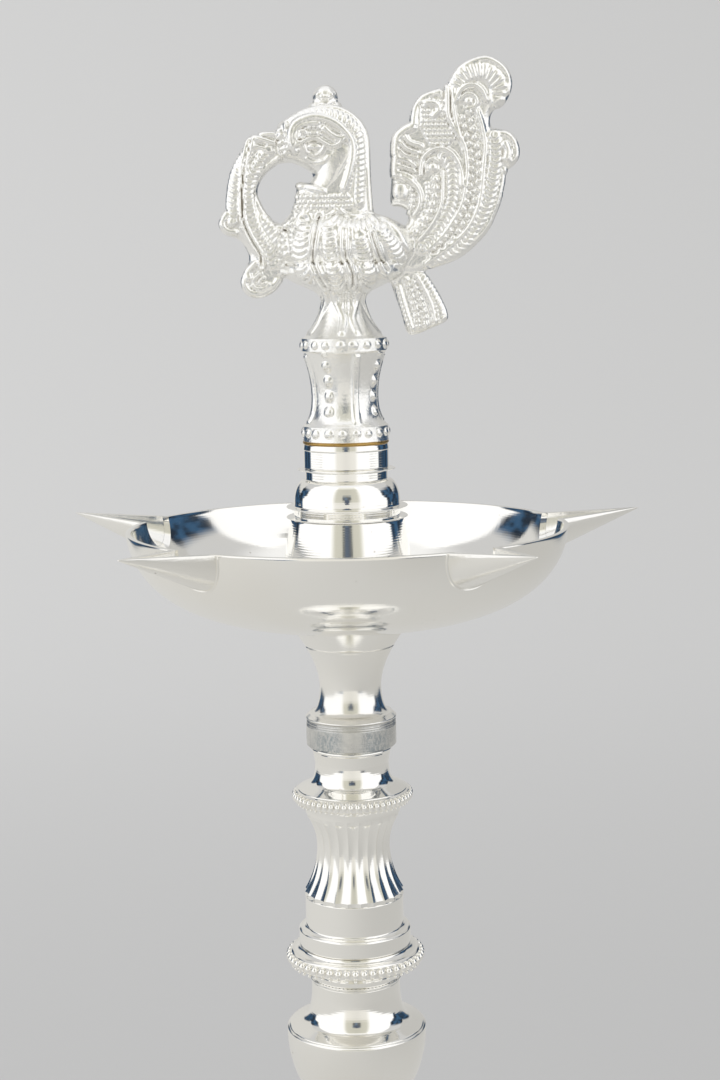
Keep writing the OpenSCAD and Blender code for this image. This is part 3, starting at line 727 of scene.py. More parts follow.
# a spout is a cone, hollowed, cut off level along its top and cut to the bowl's wall
grown = bowlSide(b["rim"] + p["gap"], b["deep"] + p["gap"])
outline = [(0, -p["gap"])] + grown[-2::-1] + [(b["rim"] + p["gap"], 2 * b["deep"]), (0, 2 * b["deep"])]
bowlForm = turned("bowlForm", outline, bowlFoot, soften=0)
dropSelection()
bpy.ops.mesh.primitive_cube_add(size=2)
over = bpy.context.object
block = [side * mm for side in p["block"]]
over.data.transform(tipPlace @ Matrix.Rotation(-math.atan2(p["rise"], run), 4, "Y")
                    @ Matrix.Translation((0, 0, block[2])) @ Matrix.Diagonal((*block, 1)))
spout = cutBy(spoutCone("spout", 0), hollow, over)
closeSkin(spout)
cutBy(spout, bowlForm)
closeSkin(spout)
easeEdges(spout, p["filed"], 3, 35)


def onBowl(turn):
    # where the spout's skin meets the bowl's wall, at a turn round the spout's axis
    low, high = 0.0, long
    for _ in range(40):
        back = (low + high) / 2
        reach = p["point"] + back * spread
        spot = spoutAxis @ Vector((reach * math.sin(turn) * mm, reach * math.cos(turn) * mm, back * mm))
        away, level = math.hypot(spot.x, spot.y) / mm, spot.z / mm - bowlFoot
        wall = np.interp(level, [q[1] for q in outer[::-1]], [q[0] for q in outer[::-1]])
        low, high = (back, high) if away > wall else (low, back)
    return spot


seam = [onBowl(math.radians(a)) for a in range(-184, 5, 4)]
solder = drawCurve("solder", seam, dimensions="3D", bevel_depth=p["solder"] * mm, bevel_resolution=3,
                   use_fill_caps=True)
closeSkin(solder)
spout = joinAll([spout, solder], "spout")
for index, matrix in enumerate(spoutTurns, 1):
    copy = placed(spout, [matrix], f"spout{index}")
    smoothByAngle(copy, 30)
    settle(copy, "bowl", spoutSilver, f"spout_{index}")
discard(hollow, hollows, over, bowlForm, spout)
print("bowl and spouts made")


# seal, neck and brass washer

sealSizes = {"bore": 5.15, "radius": 21.3, "thick": 1.0}
flatRing("oilSeal", "oil_seal", sealSizes, "seal", "seal_rubber", rubber)

neckSizes = {"foot": 21.8, "edge": 1.0, "bell": (18.8, 14.1), "bellTop": 16.5, "waist": 15.4,
             "fins": (28.6, 31.6), "fin": 17.6, "finThick": 0.8, "shoulder": 33.2, "throat": (11.9, 40.0),
             "ring": 14.2, "drumAt": 43.2, "drum": 12.3, "lip": 1.9, "height": 50.3, "rodBore": 5.08,
             "rodDeep": 27.0, "studBore": 4.08, "studDeep": 15.5}
s = neckSizes
neckFoot, top, lipFoot = footOf("neck_column"), s["height"], s["height"] - s["lip"]


def finOn(radius, foot, reach):
    thick = neckSizes["finThick"]
    return [(radius, foot), (reach - 0.2, foot + thick * 0.3), (reach, foot + thick * 0.5),
            (reach - 0.2, foot + thick * 0.7), (radius, foot + thick)]


outline = ([(s["rodBore"], 0), (s["foot"], 0)]
           + bend((s["foot"], s["edge"]), s["bell"], (s["bellTop"], s["fins"][0]), steps=40)
           + finOn(s["waist"], s["fins"][0], s["fin"]) + finOn(s["waist"], s["fins"][1], s["fin"])
           + belly((s["waist"], s["shoulder"]), s["throat"], 28)
           + finOn(s["throat"][0], s["drumAt"] - s["finThick"], s["ring"])
           + [(s["drum"], s["drumAt"] + 0.1), (s["drum"], lipFoot), (s["drum"] + 0.1, lipFoot + 0.15),
              (s["drum"] - 0.1, top - 0.25), (s["drum"] - 0.4, top), (s["studBore"], top),
              (s["studBore"], top - s["studDeep"]), (0, top - s["studDeep"])])
bore = [(0, s["rodDeep"]), (s["rodBore"], s["rodDeep"]), (s["rodBore"], 0)]
neckSkin = turned("neckColumn", outline, neckFoot, steps=192, soften=0.08)
neckBore = turned("neckBore", bore, neckFoot, steps=192, soften=0)
neck = joinAll([neckSkin, neckBore], "neckColumn")
closeSkin(neck)
smoothByAngle(neck, 30)
settle(neck, "neck", neckSilver, "neck_column")

washerSizes = {"bore": 4.16, "radius": 12.4, "thick": 0.5}
flatRing("finialWasher", "finial_washer", washerSizes, "gold_washer", "bare_brass", brass)
print("neck, seal and brass washer made")


# chased work: shapes are drawn on the casting's side and raised along its skin

def smoothPath(points, closed=False, per=6):
    # rounded line through given points
    count = len(points)
    path = []
    for i in range(count if closed else count - 1):
        if closed:
            a, b, c, d = (points[(i + k) % count] for k in (-1, 0, 1, 2))
        else:
            a, b, c, d = points[max(i - 1, 0)], points[i], points[i + 1], points[min(i + 2, count - 1)]
        for k in range(per):
            t = k / per
            path.append(tuple(0.5 * (2 * q + (r - p) * t + (2 * p - 5 * q + 4 * r - s) * t ** 2
                                     + (3 * q - p - 3 * r + s) * t ** 3) for p, q, r, s in zip(a, b, c, d)))
    if not closed:
        path.append(points[-1])
    return path


def spotsOf(piece):
    flat = np.empty(len(piece.data.vertices) * 3)
    piece.data.vertices.foreach_get("co", flat)
    return flat.reshape(-1, 3) / mm


def moveSpots(piece, spots):
    piece.data.vertices.foreach_set("co", (spots * mm).ravel())
    piece.data.update()


def nearest(spots, path):
    # how far along a path each spot lies, and how far off it
    start, run = path[:-1], path[1:] - path[:-1]
    long = np.hypot(run[:, 0], run[:, 1])
    away = spots[:, None, :] - start[None]
    share = np.clip((away * run).sum(2) / long ** 2, 0, 1)
    gap = away - share[..., None] * run
    far = np.hypot(gap[..., 0], gap[..., 1])
    best = far.argmin(1)
    rows = np.arange(len(spots))
    side = np.sign(run[best, 0] * gap[rows, best, 1] - run[best, 1] * gap[rows, best, 0])
    begun = np.concatenate([[0], np.cumsum(long)[:-1]])
    far = far[rows, best]
    return begun[best] + share[rows, best] * long[best], far * side, far


def within(spots, outline):
    inside = np.zeros(len(spots), bool)
    for (ax, az), (bx, bz) in zip(outline, np.roll(outline, -1, axis=0)):
        if az == bz:
            continue
        crosses = (spots[:, 1] > min(az, bz)) & (spots[:, 1] <= max(az, bz))
        inside ^= crosses & (spots[:, 0] < ax + (spots[:, 1] - az) * (bx - ax) / (bz - az))
    return inside


def unit(u):
    return np.clip(u, 0, 1)


def dome(u):
    return np.sqrt(np.clip(1 - u ** 2, 0, None))


def raised(spots, kind, wide, tall, points, pitch=1.0, lean=0.0, bow=0.0):
    # height of one piece of chased work over the spots
    lift = np.zeros(len(spots))
    marks = np.array(points, float)
    low, high = marks.min(0) - wide, marks.max(0) + wide
    near = np.flatnonzero(((spots > low) & (spots < high)).all(1))
    if not len(near):
        return lift
    here = spots[near]
    if kind == "pebbles":
        row = np.round(here[:, 1] / (wide * 0.87))
        dx = here[:, 0] / wide + 0.5 * (row % 2)
        gap = np.hypot((dx - np.round(dx)) * wide, here[:, 1] - row * wide * 0.87)
        lift[near] = tall * dome(unit(gap / (wide * 0.5))) * within(here, marks)
        return lift
    if kind == "boss":
        gap = (here - marks[0]) / (wide, wide * pitch)
        lift[near] = tall * dome(unit(np.hypot(gap[:, 0], gap[:, 1])))
        return lift
    along, off, far = nearest(here, np.array(smoothPath(points)))
    u = unit(far / wide)
    if kind == "ridge":
        lift[near] = tall * dome(u)
    elif kind == "double":
        lift[near] = tall * dome(unit(abs(far - wide * 0.55) / (wide * 0.45)))
    elif kind == "beads":
        gap = np.hypot((along % pitch) - pitch / 2, off)
        lift[near] = tall * dome(unit(gap / min(wide, pitch * 0.52)))
    elif kind == "pearls":
        half = wide / 2
        step = (along + np.where(off > 0, pitch / 2, 0)) % pitch - pitch / 2
        gap = np.hypot(step, abs(off) - half)
        lift[near] = tall * dome(unit(gap / min(half * 1.05, pitch * 0.52)))
    else:
        lean = lean * (off if kind == "bars" else abs(off))
        rib = abs(np.sin(math.pi * (along + lean + bow * u ** 2) / pitch)) ** 0.7
        lift[near] = tall * (0.3 * dome(u) + 0.7 * rib * (1 - u ** 4))
    return lift


def relief(spots, works):
    lift = np.zeros(len(spots))
    for work in works:
        lift = np.maximum(lift, raised(spots, *work))
    return lift


# pedestal: turned, then its ribs, bead columns and calyx leaves are raised on the skin

pedestalSizes = {"foot": 12.4, "footEdge": 0.3, "band": 12.3, "half": 1.75, "lowRow": 2.75, "highRow": 27.72,
                 "waist": (9.2, 12.76), "throat": (5.9, 39.8), "flare": 42.6, "seat": 8.6, "height": 44.0,
                 "over": 25.8, "bead": 3.3, "count": 19, "bore": 4.05, "boreDeep": 12.0, "edge": 0.5,
                 "grain": 0.45, "grow": (0.8, 1.04), "tall": (0.88, 1.0), "sunk": 0.55, "stray": 0.08,
                 "sway": 0.15}
pedestalWork = {"waist": (5.2, 25.2), "ribTurn": 18.0, "ribHalf": 1.25, "ribTall": 0.7,
                "rowTurn": -29.0, "rowFoot": 8.9, "rowStep": 4.25, "rowTop": 25.4, "rowBead": (1.4, 0.85),
                "calyx": (30.2, 43.6), "leafTurn": 10.0, "leafFoot": 35.0, "leafTall": (0.35, 0.3),
                "leafGrow": 0.42, "leafHalf": 3.2, "veins": (4.2, 2.1), "petalHead": 36, "petalGap": 0.9,
                "petalGrow": 0.28, "petalMost": 2.4, "petalHalf": 1.15, "petalTall": 0.75}
s, w = pedestalSizes, pedestalWork
e = s["edge"]
finialFoot = footOf("finial_pedestal")
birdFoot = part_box("finial_pedestal")[1].z / mm


def closely(path, step):
    spots = [path[0]]
    for a, b in zip(path, path[1:]):
        parts = max(1, round(math.dist(a, b) / step))
        spots += [(a[0] + (b[0] - a[0]) * i / parts, a[1] + (b[1] - a[1]) * i / parts)
                  for i in range(1, parts + 1)]
    return spots


side = closely(bend((s["band"] - e, s["lowRow"] + s["half"] + e), (s["waist"][0], 4 * s["half"]), s["waist"])
               + bend(s["waist"], (s["waist"][0], s["highRow"] - 5 * s["half"]),
                      (s["band"] - e, s["highRow"] - s["half"] - e))
               + [(s["band"], s["highRow"] - s["half"]), (s["band"], s["highRow"] + s["half"])]
               + bend((s["band"] - e, s["highRow"] + s["half"]),
                      (s["throat"][0] + e, s["highRow"] + 3.6 * s["half"]), s["throat"])
               + bend(s["throat"], (s["throat"][0] + e, s["flare"]), (s["seat"], s["height"])), s["grain"])
outline = ([(s["bore"], s["boreDeep"]), (s["bore"], 0), (s["foot"] - s["footEdge"], 0),
            (s["foot"], s["footEdge"]), (s["foot"], e), (s["band"], 2 * e),
            (s["band"], s["lowRow"] + s["half"])] + side
           + [(0, s["height"]), (0, s["boreDeep"]), (s["bore"], s["boreDeep"])])
pedestal = turned("finialPedestal", outline, finialFoot, steps=180, soften=0)
spots = spotsOf(pedestal)
radius = np.hypot(spots[:, 0], spots[:, 1])
level = spots[:, 2] - finialFoot
turn = np.degrees(np.arctan2(spots[:, 0], -spots[:, 1]))


def quarterOff(middle):
    # arc length from the nearest of four places round the pedestal
    return np.radians((turn - middle + 45) % 90 - 45) * radius


ribOff, rowOff, leafOff = (quarterOff(w[k]) for k in ("ribTurn", "rowTurn", "leafTurn"))
waistPart = unit((level - w["waist"][0]) / 0.8) * unit((w["waist"][1] - level) / 0.8)
lift = w["ribTall"] * unit((w["ribHalf"] - abs(ribOff)) / 0.35) * waistPart
rowOn = (level - w["rowFoot"] + w["rowStep"] / 2) % w["rowStep"] - w["rowStep"] / 2
rowPart = (level > w["rowFoot"] - w["rowStep"] / 2) & (level < w["rowTop"])
beadHalf, beadTall = w["rowBead"]
lift = np.maximum(lift, beadTall * dome(unit(np.hypot(rowOn, rowOff) / beadHalf)) * rowPart)
calyx = unit((level - w["calyx"][0]) / 1.2) * unit((w["calyx"][1] - level) / 0.8)
leafHalf = np.clip((level - w["leafFoot"]) * w["leafGrow"], 0, w["leafHalf"])
veinUp, veinOff = level * w["veins"][0], leafOff * w["veins"][1]
leafGrain = np.sin(veinUp + veinOff) * np.sin(veinUp - veinOff)
leafTall, veinTall = w["leafTall"]
lift = np.maximum(lift, (leafTall + veinTall * leafGrain) * (abs(leafOff) < leafHalf) * calyx)
petalAt = (leafHalf + w["petalGap"]
           + np.clip((w["petalHead"] - level) * w["petalGrow"], 0, w["petalMost"]))
petal = dome(np.clip((abs(leafOff) - petalAt) / w["petalHalf"], -1, 1))
lift = np.maximum(lift, w["petalTall"] * petal * calyx)
lift = lift * (radius > s["bore"] + 1)
spots[:, :2] *= ((radius + lift) / np.maximum(radius, 0.01))[:, None]
moveSpots(pedestal, spots)
smoothByAngle(pedestal, 50)

# two rows of cast beads, no two quite alike
draw = random.Random(11)
bead = beadModel(s["bead"], 1.0, 16, 10)
rowSpots = []
for height in (s["lowRow"], s["highRow"]):
    for i in range(s["count"]):
        grow = draw.uniform(*s["grow"])
        tall = grow * draw.uniform(*s["tall"])
        deep = s["sunk"] * grow
        reach = (s["over"] - s["bead"] * deep) / 2
        turn = fullTurn * (i + draw.uniform(-s["stray"], s["stray"])) / s["count"]
        up = finialFoot + height + draw.uniform(-s["sway"], s["sway"])
        rowSpots.append(Matrix.Rotation(turn, 4, "Z") @ Matrix.Translation((reach * mm, 0, up * mm))
                        @ Matrix.Diagonal((deep, grow, tall, 1)))
rows = placed(bead, rowSpots, "pedestalBeads")
discard(bead)
pedestal = joinAll([pedestal, rows], "finialPedestal")
settle(pedestal, "finial", cast, "finial_pedestal")
print("pedestal made")


# bird, facing -X: outlines and chased lines are in millimetres along X and up from the pedestal

birdSizes = {"grain": 0.38, "plateGrain": 0.7,
             # plates: half thickness, how far in the edge eases, and how blunt it stays
             "tail": (3.4, 2.4, 0.55), "garland": (3.4, 2.2, 0.55), "head": (7.4, 6.5, 0.4),
             "rump": (3.0, 2.0, 0.55), "body": (1.0, 11.2), "bodyRadii": (20.0, 13.0, 10.2),
             "crest": (-4.0, 52.6), "crestRadius": 3.6, "leaves": ((-3.4, -2.6), (3.2, -2.4)),
             "leafRadii": (1.5, 3.2, 1.3), "bellFlat": 0.86,
             "bell": [(6.6, -3), (8, -1.4), (11, 0), (14.5, 1.6), (17.5, 3.6), (17.5, 6)]}
tailOutline = [(13.9, 22.8), (14.2, 30), (14.5, 37), (15, 41.2), (17.1, 43.5), (19.6, 45.2), (21, 49),
               (23, 51.9), (26.5, 53.4), (30, 54.8), (31.6, 57.8), (33.8, 60.4), (37.2, 62.4), (40.9, 63.3),
               (43.8, 62.4), (46.7, 60), (48.3, 56.4), (48, 53.2), (46.6, 50.4), (43.6, 48.6), (42.2, 46.2),
               (42.6, 43.4), (44.5, 42.6), (47.8, 42), (50, 39.1), (50.3, 35.1), (48.4, 32.6), (46.2, 31),
               (45.6, 27.1), (44.5, 22.6), (43, 19), (41.2, 15.3), (37, 10.8), (32.6, 7.4), (25.3, 4.6),
               (18, 3), (13, 8), (15, 13.5), (18.5, 17.5), (18.6, 20.8), (16.1, 22.2)]
garlandOutline = [(-15, 45), (-18.5, 43.8), (-22, 43), (-25.3, 41.4), (-27.4, 38.5), (-30.6, 33), (-32, 27),
                  (-32.6, 22), (-34.2, 19.8), (-34.9, 17.8), (-33.4, 15.2), (-30.6, 14.2), (-28.6, 13.2),
                  (-27, 10.4), (-26.4, 8.2), (-27.8, 5), (-29, 1.4), (-27.6, -1.8), (-25, -3), (-22, -2.4),
                  (-19.4, -0.6), (-17.4, 2), (-14, 5), (-12, 12), (-15, 17.5), (-18.3, 18.3), (-21.4, 20.6),
                  (-23, 23.4), (-24.2, 26.6), (-23.4, 29.6), (-21.2, 32.4), (-17.6, 34.6), (-13.3, 35.2),
                  (-10, 38), (-11, 43)]
headOutline = [(-17.6, 44.6), (-14.6, 46.8), (-11, 48.9), (-7.7, 50), (-3.8, 50.6), (-0.2, 50), (3.7, 48.1),
               (6.9, 44.8), (8.2, 40.5), (8.4, 33.4), (8.6, 27), (9, 20.6), (10, 15), (0, 10), (-12, 12),
               (-16.5, 17.5), (-14.2, 21), (-13, 24.5), (-12.3, 28.5), (-10, 28.6), (-8.4, 29.6),
               (-7.8, 31.4), (-10.2, 33.4), (-13.3, 34.8), (-16.6, 36.4)]
rumpOutline = [(13.5, 2), (14.5, -2.1), (16.4, -7.8), (18, -13.2), (20.3, -14), (25.6, -12), (29.6, -10),
               (29.4, -7.2), (26.9, -2.1), (23.6, 3.1), (22, 6), (15, 7)]

# each line of work: kind, half width, height, points, and for ribs and beads their pitch, lean and bow
tailWork = [
    ("ridge", 0.9, 0.8, [(46, 31.5), (45, 26.5), (43.6, 21.5), (40.6, 15.5), (36.4, 11), (31.5, 7.8),
                         (25, 5.6)]),
    ("barbs", 2.0, 1.0, [(43.2, 41), (43.4, 36), (42.7, 30.5), (41.4, 24.5), (38.6, 18), (34.6, 12.4),
                         (30.5, 9.2), (26, 7)], 1.65, 0.7),
    ("ridge", 0.8, 1.1, [(38.6, 48), (40, 43), (40.6, 38.5), (40, 31.5), (38.8, 22.5), (35.8, 16),
                         (31.5, 11.6), (27, 8.4), (23.5, 6)]),
    ("pearls", 1.95, 1.1, [(35.3, 47.5), (36, 43), (37.2, 38.5), (37.8, 32.8), (37.3, 27.4), (36, 22),
                           (33, 17), (29.6, 12.6), (25.5, 9)], 2.4),
    ("ridge", 0.75, 1.1, [(31.9, 54), (32, 48), (33.2, 42.5), (34.9, 38), (35.5, 33), (35.2, 28.5),
                          (34, 22.5), (31.2, 17.4), (28, 13.2), (24, 9.6)]),
    ("ridge", 0.8, 1.2, [(30.2, 54.5), (30.1, 50), (30.3, 46.8), (31.6, 43.8), (33.4, 40.8)]),
    ("ridge", 0.8, 0.7, [(31, 55.4), (33.6, 59.4), (37.2, 61.4), (40.9, 62.2), (43.8, 61.2), (46.2, 59.2),
                         (47.4, 56.2), (47, 53.2)]),
    ("bars", 2.6, 0.95, [(32.2, 54.6), (34.4, 57.4), (37.5, 58.7), (40.6, 58.7), (43.2, 57), (44.7, 54.4),
                         (44.2, 51.4)], 1.55, 0.1),
    ("ridge", 0.9, 1.3, [(32.4, 50.8), (33.6, 53.4), (35.6, 54.9), (37.9, 55), (39.9, 53.4), (41, 51)]),
    ("ridge", 0.8, 1.0, [(33.8, 51), (35.4, 52.6), (37.4, 52.3), (38.4, 50.6), (37.6, 49), (35.8, 48.8)]),
    ("boss", 1.4, 1.3, [(36.1, 50.6)]),
    ("boss", 1.3, 1.0, [(43.4, 50.2)]),
    ("ridge", 0.9, 1.1, [(20.8, 44.8), (21.2, 49), (22.7, 51.4), (25.4, 52.7), (28.2, 53.2)]),
    ("pebbles", 1.5, 0.7, [(22.8, 51), (29, 52.5), (29.4, 46), (32.4, 40.5), (30, 38.6), (25, 39.2),
                           (22.6, 44)]),
    ("ridge", 0.8, 1.1, [(24.2, 50.4), (26.8, 50.2), (27.8, 48.4), (26.2, 46.8)]),
    ("ridge", 1.3, 1.1, [(15.4, 36.6), (15.8, 40.6), (17.5, 42.7), (20.2, 43.9)]),
    ("ridge", 0.8, 1.0, [(18.2, 41.2), (19.6, 39.6), (22.6, 38.6)]),
    ("ridge", 0.8, 1.0, [(17.2, 39.4), (18.8, 37.8), (21.6, 36.8)]),
    ("ridge", 0.7, 0.9, [(16.8, 37.4), (18.4, 36), (21.4, 35.4)]),
    ("ridge", 1.2, 1.0, [(15.4, 30.8), (15.3, 33.4), (15.8, 36)]),
    ("ridge", 0.75, 0.9, [(16.6, 35.2), (18.6, 34.6), (20.8, 33.2)]),
    ("ridge", 0.75, 0.9, [(16.6, 33.2), (18.6, 32.6), (20.8, 31.6)]),
    ("ridge", 0.7, 0.8, [(16.4, 31.4), (18.4, 30.9), (20.4, 29.8)]),
    ("boss", 2.3, 1.3, [(16.7, 26)], 1.4),
    ("ridge", 0.8, 1.1, [(17.2, 30.4), (19.8, 28.8), (21.6, 26.8), (22.3, 24.4), (21.9, 21.9), (20.6, 19.6)]),
    ("beads", 0.8, 0.8, [(19.4, 27.2), (20.3, 24.8), (19.9, 22), (18.8, 19.6)], 1.6),
    ("ridge", 0.8, 1.2, [(22.4, 30.5), (22.9, 34.6), (24.7, 36.8), (27.4, 37.8), (30.2, 37.2), (32.4, 35),
                         (33.8, 31.4), (33.9, 27.5)]),
    ("ridge", 0.65, 0.9, [(24.2, 31.2), (24, 33.6), (25.6, 35), (27.4, 34.2)]),
    ("boss", 1.5, 1.1, [(25.9, 32.6)]),
    ("barbs", 1.9, 0.95, [(29.2, 35.4), (30.9, 33), (31.4, 28.5), (31.2, 23.6), (29.6, 19.4), (27.2, 15.4),
                          (24.8, 12.2), (22.6, 10.4)], 1.55, -0.6),
    ("ridge", 0.65, 1.1, [(28.6, 31.5), (28.6, 27.5), (28.2, 22.6), (26.4, 18.4), (23.8, 14.8),
                          (21.6, 12.4)]),
    ("beads", 1.2, 1.1, [(26.4, 30.4), (26.6, 27), (26, 24), (24.9, 20.6), (22.9, 17.4), (20.4, 14.8)], 2.3),
    ("beads", 0.6, 0.6, [(24.2, 29), (24.4, 25), (23.4, 20.6), (21.4, 17.4)], 1.3),
    ("ridge", 0.9, 0.8, [(43.6, 42.2), (47.2, 41.1), (49, 38.6), (49.1, 35.4), (47.4, 33.4)]),
    ("ridge", 1.3, 1.3, [(46.2, 38.8), (46.9, 36.8), (46.6, 34.8)]),
]
garlandWork = [
    ("double", 1.2, 1.1, [(-24.9, 40.8), (-26.9, 34.4), (-27.6, 30), (-28, 24.5), (-27.9, 20.3), (-27, 16.6),
                          (-25, 12.6), (-23.2, 9.4), (-22.8, 6)]),
    ("barbs", 1.6, 0.9, [(-26.9, 37), (-29.2, 31.8), (-30.2, 27), (-30.5, 21.5), (-30.6, 18.6)], 1.45, 0.8),
    ("barbs", 1.8, 0.9, [(-20.2, 38.2), (-23, 35.2), (-25.5, 30.2), (-26, 24), (-25, 18.8), (-23.2, 14.9),
                         (-20.8, 11), (-19.8, 7)], 1.45, 0.8),
    ("bars", 1.6, 0.7, [(-21.6, 19.4), (-19.6, 15.6), (-17.6, 11.6), (-17.2, 7)], 1.5, 0.3),
    ("ridge", 0.65, 0.7, [(-27.2, 38.4), (-30.3, 32.6), (-31.5, 27), (-31.8, 22.4)]),
    ("ridge", 0.65, 0.7, [(-17.4, 36), (-21.5, 33), (-23.8, 29.6), (-24.1, 26.4), (-23, 22.6), (-20.8, 20)]),
    ("ridge", 0.9, 0.9, [(-32.4, 20.8), (-33.6, 18.2), (-32.5, 16.2), (-30, 15.6)]),
    ("boss", 1.4, 1.0, [(-31, 18.3)]),
    ("ridge", 0.9, 0.9, [(-24.4, 7), (-26.7, 4.6), (-27.8, 1.6), (-26.6, -0.9), (-23.6, -1.7), (-20.2, -0.1),
                         (-18.2, 2.2)]),
    ("ridge", 0.6, 0.9, [(-23.4, 3.9), (-25.3, 2.1), (-24.9, 0.1), (-22.6, -0.3), (-20.8, 1)]),
    ("ridge", 0.55, 0.8, [(-22.5, 2.9), (-23.6, 1.7), (-22.9, 0.9), (-21.9, 1.4)]),
    ("boss", 1.3, 1.0, [(-26.6, 3)]),
    ("ridge", 0.8, 1.1, [(-24.4, 41.6), (-21, 40.9), (-18.2, 40)]),
    ("ridge", 0.65, 0.9, [(-25, 39.6), (-22.4, 39), (-19.2, 37.8)]),
    ("ridge", 0.6, 0.8, [(-22.4, 42.5), (-19, 42.5), (-16.4, 42.2)]),
]
headWork = [
    ("ridge", 1.15, 1.3, [(-12.6, 37.6), (-13.6, 40.5), (-13.1, 43.8), (-11, 45.7), (-7.1, 46.7),
                          (-2.9, 45.8), (0.4, 43.7), (2.9, 40.5), (3.4, 36.6), (2.4, 31.5), (1, 27.2)]),
    ("ridge", 0.65, 0.7, [(-15.2, 45.4), (-11, 48), (-7.6, 49), (-3.8, 49.4), (-0.2, 49), (3.3, 47.2),
                          (6, 44.3), (7.3, 40.4), (7.5, 33.4), (7.7, 27), (8.1, 21)]),
    ("bars", 1.5, 0.8, [(-13.4, 46.4), (-9, 47.9), (-3.4, 47.9), (1.4, 46.2), (4.6, 43), (5.5, 39),
                        (5.6, 33), (5.3, 27.4), (5.1, 23)], 1.5, 0.35),
    ("beads", 0.75, 0.8, [(-14.9, 45.4), (-15.1, 43), (-15, 40.8), (-14.5, 38.3)], 1.5),
    ("beads", 0.85, 0.9, [(-16.9, 44.2), (-16.9, 41.8), (-16.5, 39.2), (-15.4, 37.3)], 1.7),
    ("ridge", 0.6, 1.0, [(-10.4, 39.9), (-12.1, 40.3), (-12.5, 42), (-11.5, 43.8), (-9, 44.9), (-5.8, 45)]),
    ("ridge", 0.55, 0.9, [(-11.2, 41.4), (-11, 42.8), (-9.9, 43.1), (-9.3, 42.2)]),
    ("beads", 0.6, 0.8, [(-9, 43.8), (-7.2, 44), (-5.4, 43.7), (-4, 42.7)], 1.2),
    ("beads", 0.55, 0.7, [(-8.4, 42.3), (-6.9, 42.5), (-5.4, 42)], 1.15),
    ("ridge", 0.65, 1.2, [(-12.2, 39.5), (-10.2, 40.2), (-8.6, 40.8), (-6.4, 40.8), (-4.6, 39.8),
                          (-2.4, 38.7), (-0.6, 39.2), (0.8, 40.4)]),
    ("ridge", 1.05, 1.1, [(-4.2, 43.6), (-2.6, 42.1), (-0.8, 41.1), (0.8, 40.8)]),
    ("boss", 2.2, 0.8, [(-7.2, 38.7)], 0.55),
    ("ridge", 0.5, 0.9, [(-10, 39), (-9.1, 37.3), (-7.2, 36.4), (-5.4, 37.1), (-4.4, 38.8)]),
    ("boss", 0.75, 1.0, [(-7.2, 38.5)]),
    ("beads", 0.8, 0.6, [(-6.6, 53.6), (-4, 52.4), (-1.4, 53.6)], 1.4),
    ("ridge", 0.5, 0.5, [(-6.9, 51.6), (-4, 50.6), (-1.1, 51.6)]),
    ("ridge", 0.55, 0.5, [(-9.4, 35.6), (-7.2, 34.5), (-4.6, 34.8), (-3.2, 35.9)]),
    ("ridge", 2.4, 0.35, [(0.2, 36.6), (-3.1, 31.6), (-6, 28.4)]),
    ("ridge", 1.0, 1.0, [(-12, 28.3), (-9, 27.7), (-5, 26.5)]),
    ("pebbles", 1.6, 0.65, [(-13, 26.3), (-5, 25.2), (1.5, 26.2), (4.4, 22.6), (-1.5, 21.2), (-8, 20.6),
                            (-14, 21)]),
]
bodyWork = [
    ("ribs", 2.6, 1.0, [(-10.2, 18.7), (-11.5, 12.4), (-11, 5.4), (-8.8, 2.4)], 1.65, 0.0, 1.4),
    ("double", 1.5, 1.0, [(-6.2, 19.5), (-7.7, 12.3), (-8, 7), (-6.4, 3), (-4.8, 0.4)]),
    ("ribs", 2.3, 1.0, [(-3.6, 16.4), (-3.2, 9.7), (-2, 3.2), (-1.2, 0)], 1.35, 0.0, 1.1),
    ("double", 1.4, 1.0, [(0.8, 15), (0.9, 8.8), (2.8, 3.2), (2.6, 0.2)]),
    ("ribs", 2.4, 1.0, [(4.8, 13.4), (6.2, 7.8), (7.4, 2.6), (6.4, 0.4)], 1.35, 0.0, 1.0),
    ("double", 1.4, 1.0, [(8.3, 14.4), (10.2, 8.4), (12.2, 4.2)]),
    ("ribs", 2.2, 0.9, [(11.4, 15.6), (14.2, 11.2), (16.2, 7)], 1.4, 0.0, 0.9),
    ("ridge", 1.0, 0.9, [(11.2, 19), (15.2, 15.6), (18.2, 10)]),
    ("beads", 1.0, 1.0, [(-15.6, 18), (-16.6, 14), (-15.8, 9)], 2.0),
    ("beads", 0.9, 0.9, [(-17.9, 16.4), (-18.2, 13), (-17.4, 10)], 1.9),
    ("beads", 0.7, 0.7, [(-13.6, 19.8), (-14.2, 14), (-13.6, 7.6)], 1.5),
    ("bars", 2.4, 1.1, [(-3.2, 20.5), (-1, 17.7), (2.9, 16.3), (7, 16.9), (9.4, 19)], 1.5, 0.0),
    ("ridge", 0.7, 0.9, [(-0.8, 21.6), (1, 20), (3.8, 19.4), (6.6, 20.1)]),
]
rumpWork = [
    ("bars", 0.9, 0.8, [(15.6, -0.5), (17.1, -6), (19, -12)], 1.3, 0.5),
    ("beads", 0.95, 0.9, [(17.6, 2.4), (19.3, -2.2), (20.7, -7), (21.2, -11.4)], 1.75),
    ("beads", 0.9, 0.9, [(19.6, 1.6), (21.6, -3), (22.9, -7.6), (23.3, -11)], 1.75),
    ("ridge", 0.65, 0.9, [(20.8, 2.6), (23.2, -1.6), (25.2, -6.3), (25.9, -10.4)]),
    ("bars", 1.15, 0.8, [(22.6, 2.4), (25, -1.5), (27.1, -6.3), (27.7, -9.6)], 1.25, 0.4),
    ("ridge", 0.5, 0.6, [(23.8, 2.2), (26.4, -2.2), (28.7, -7.2), (28.9, -9.2)]),
]


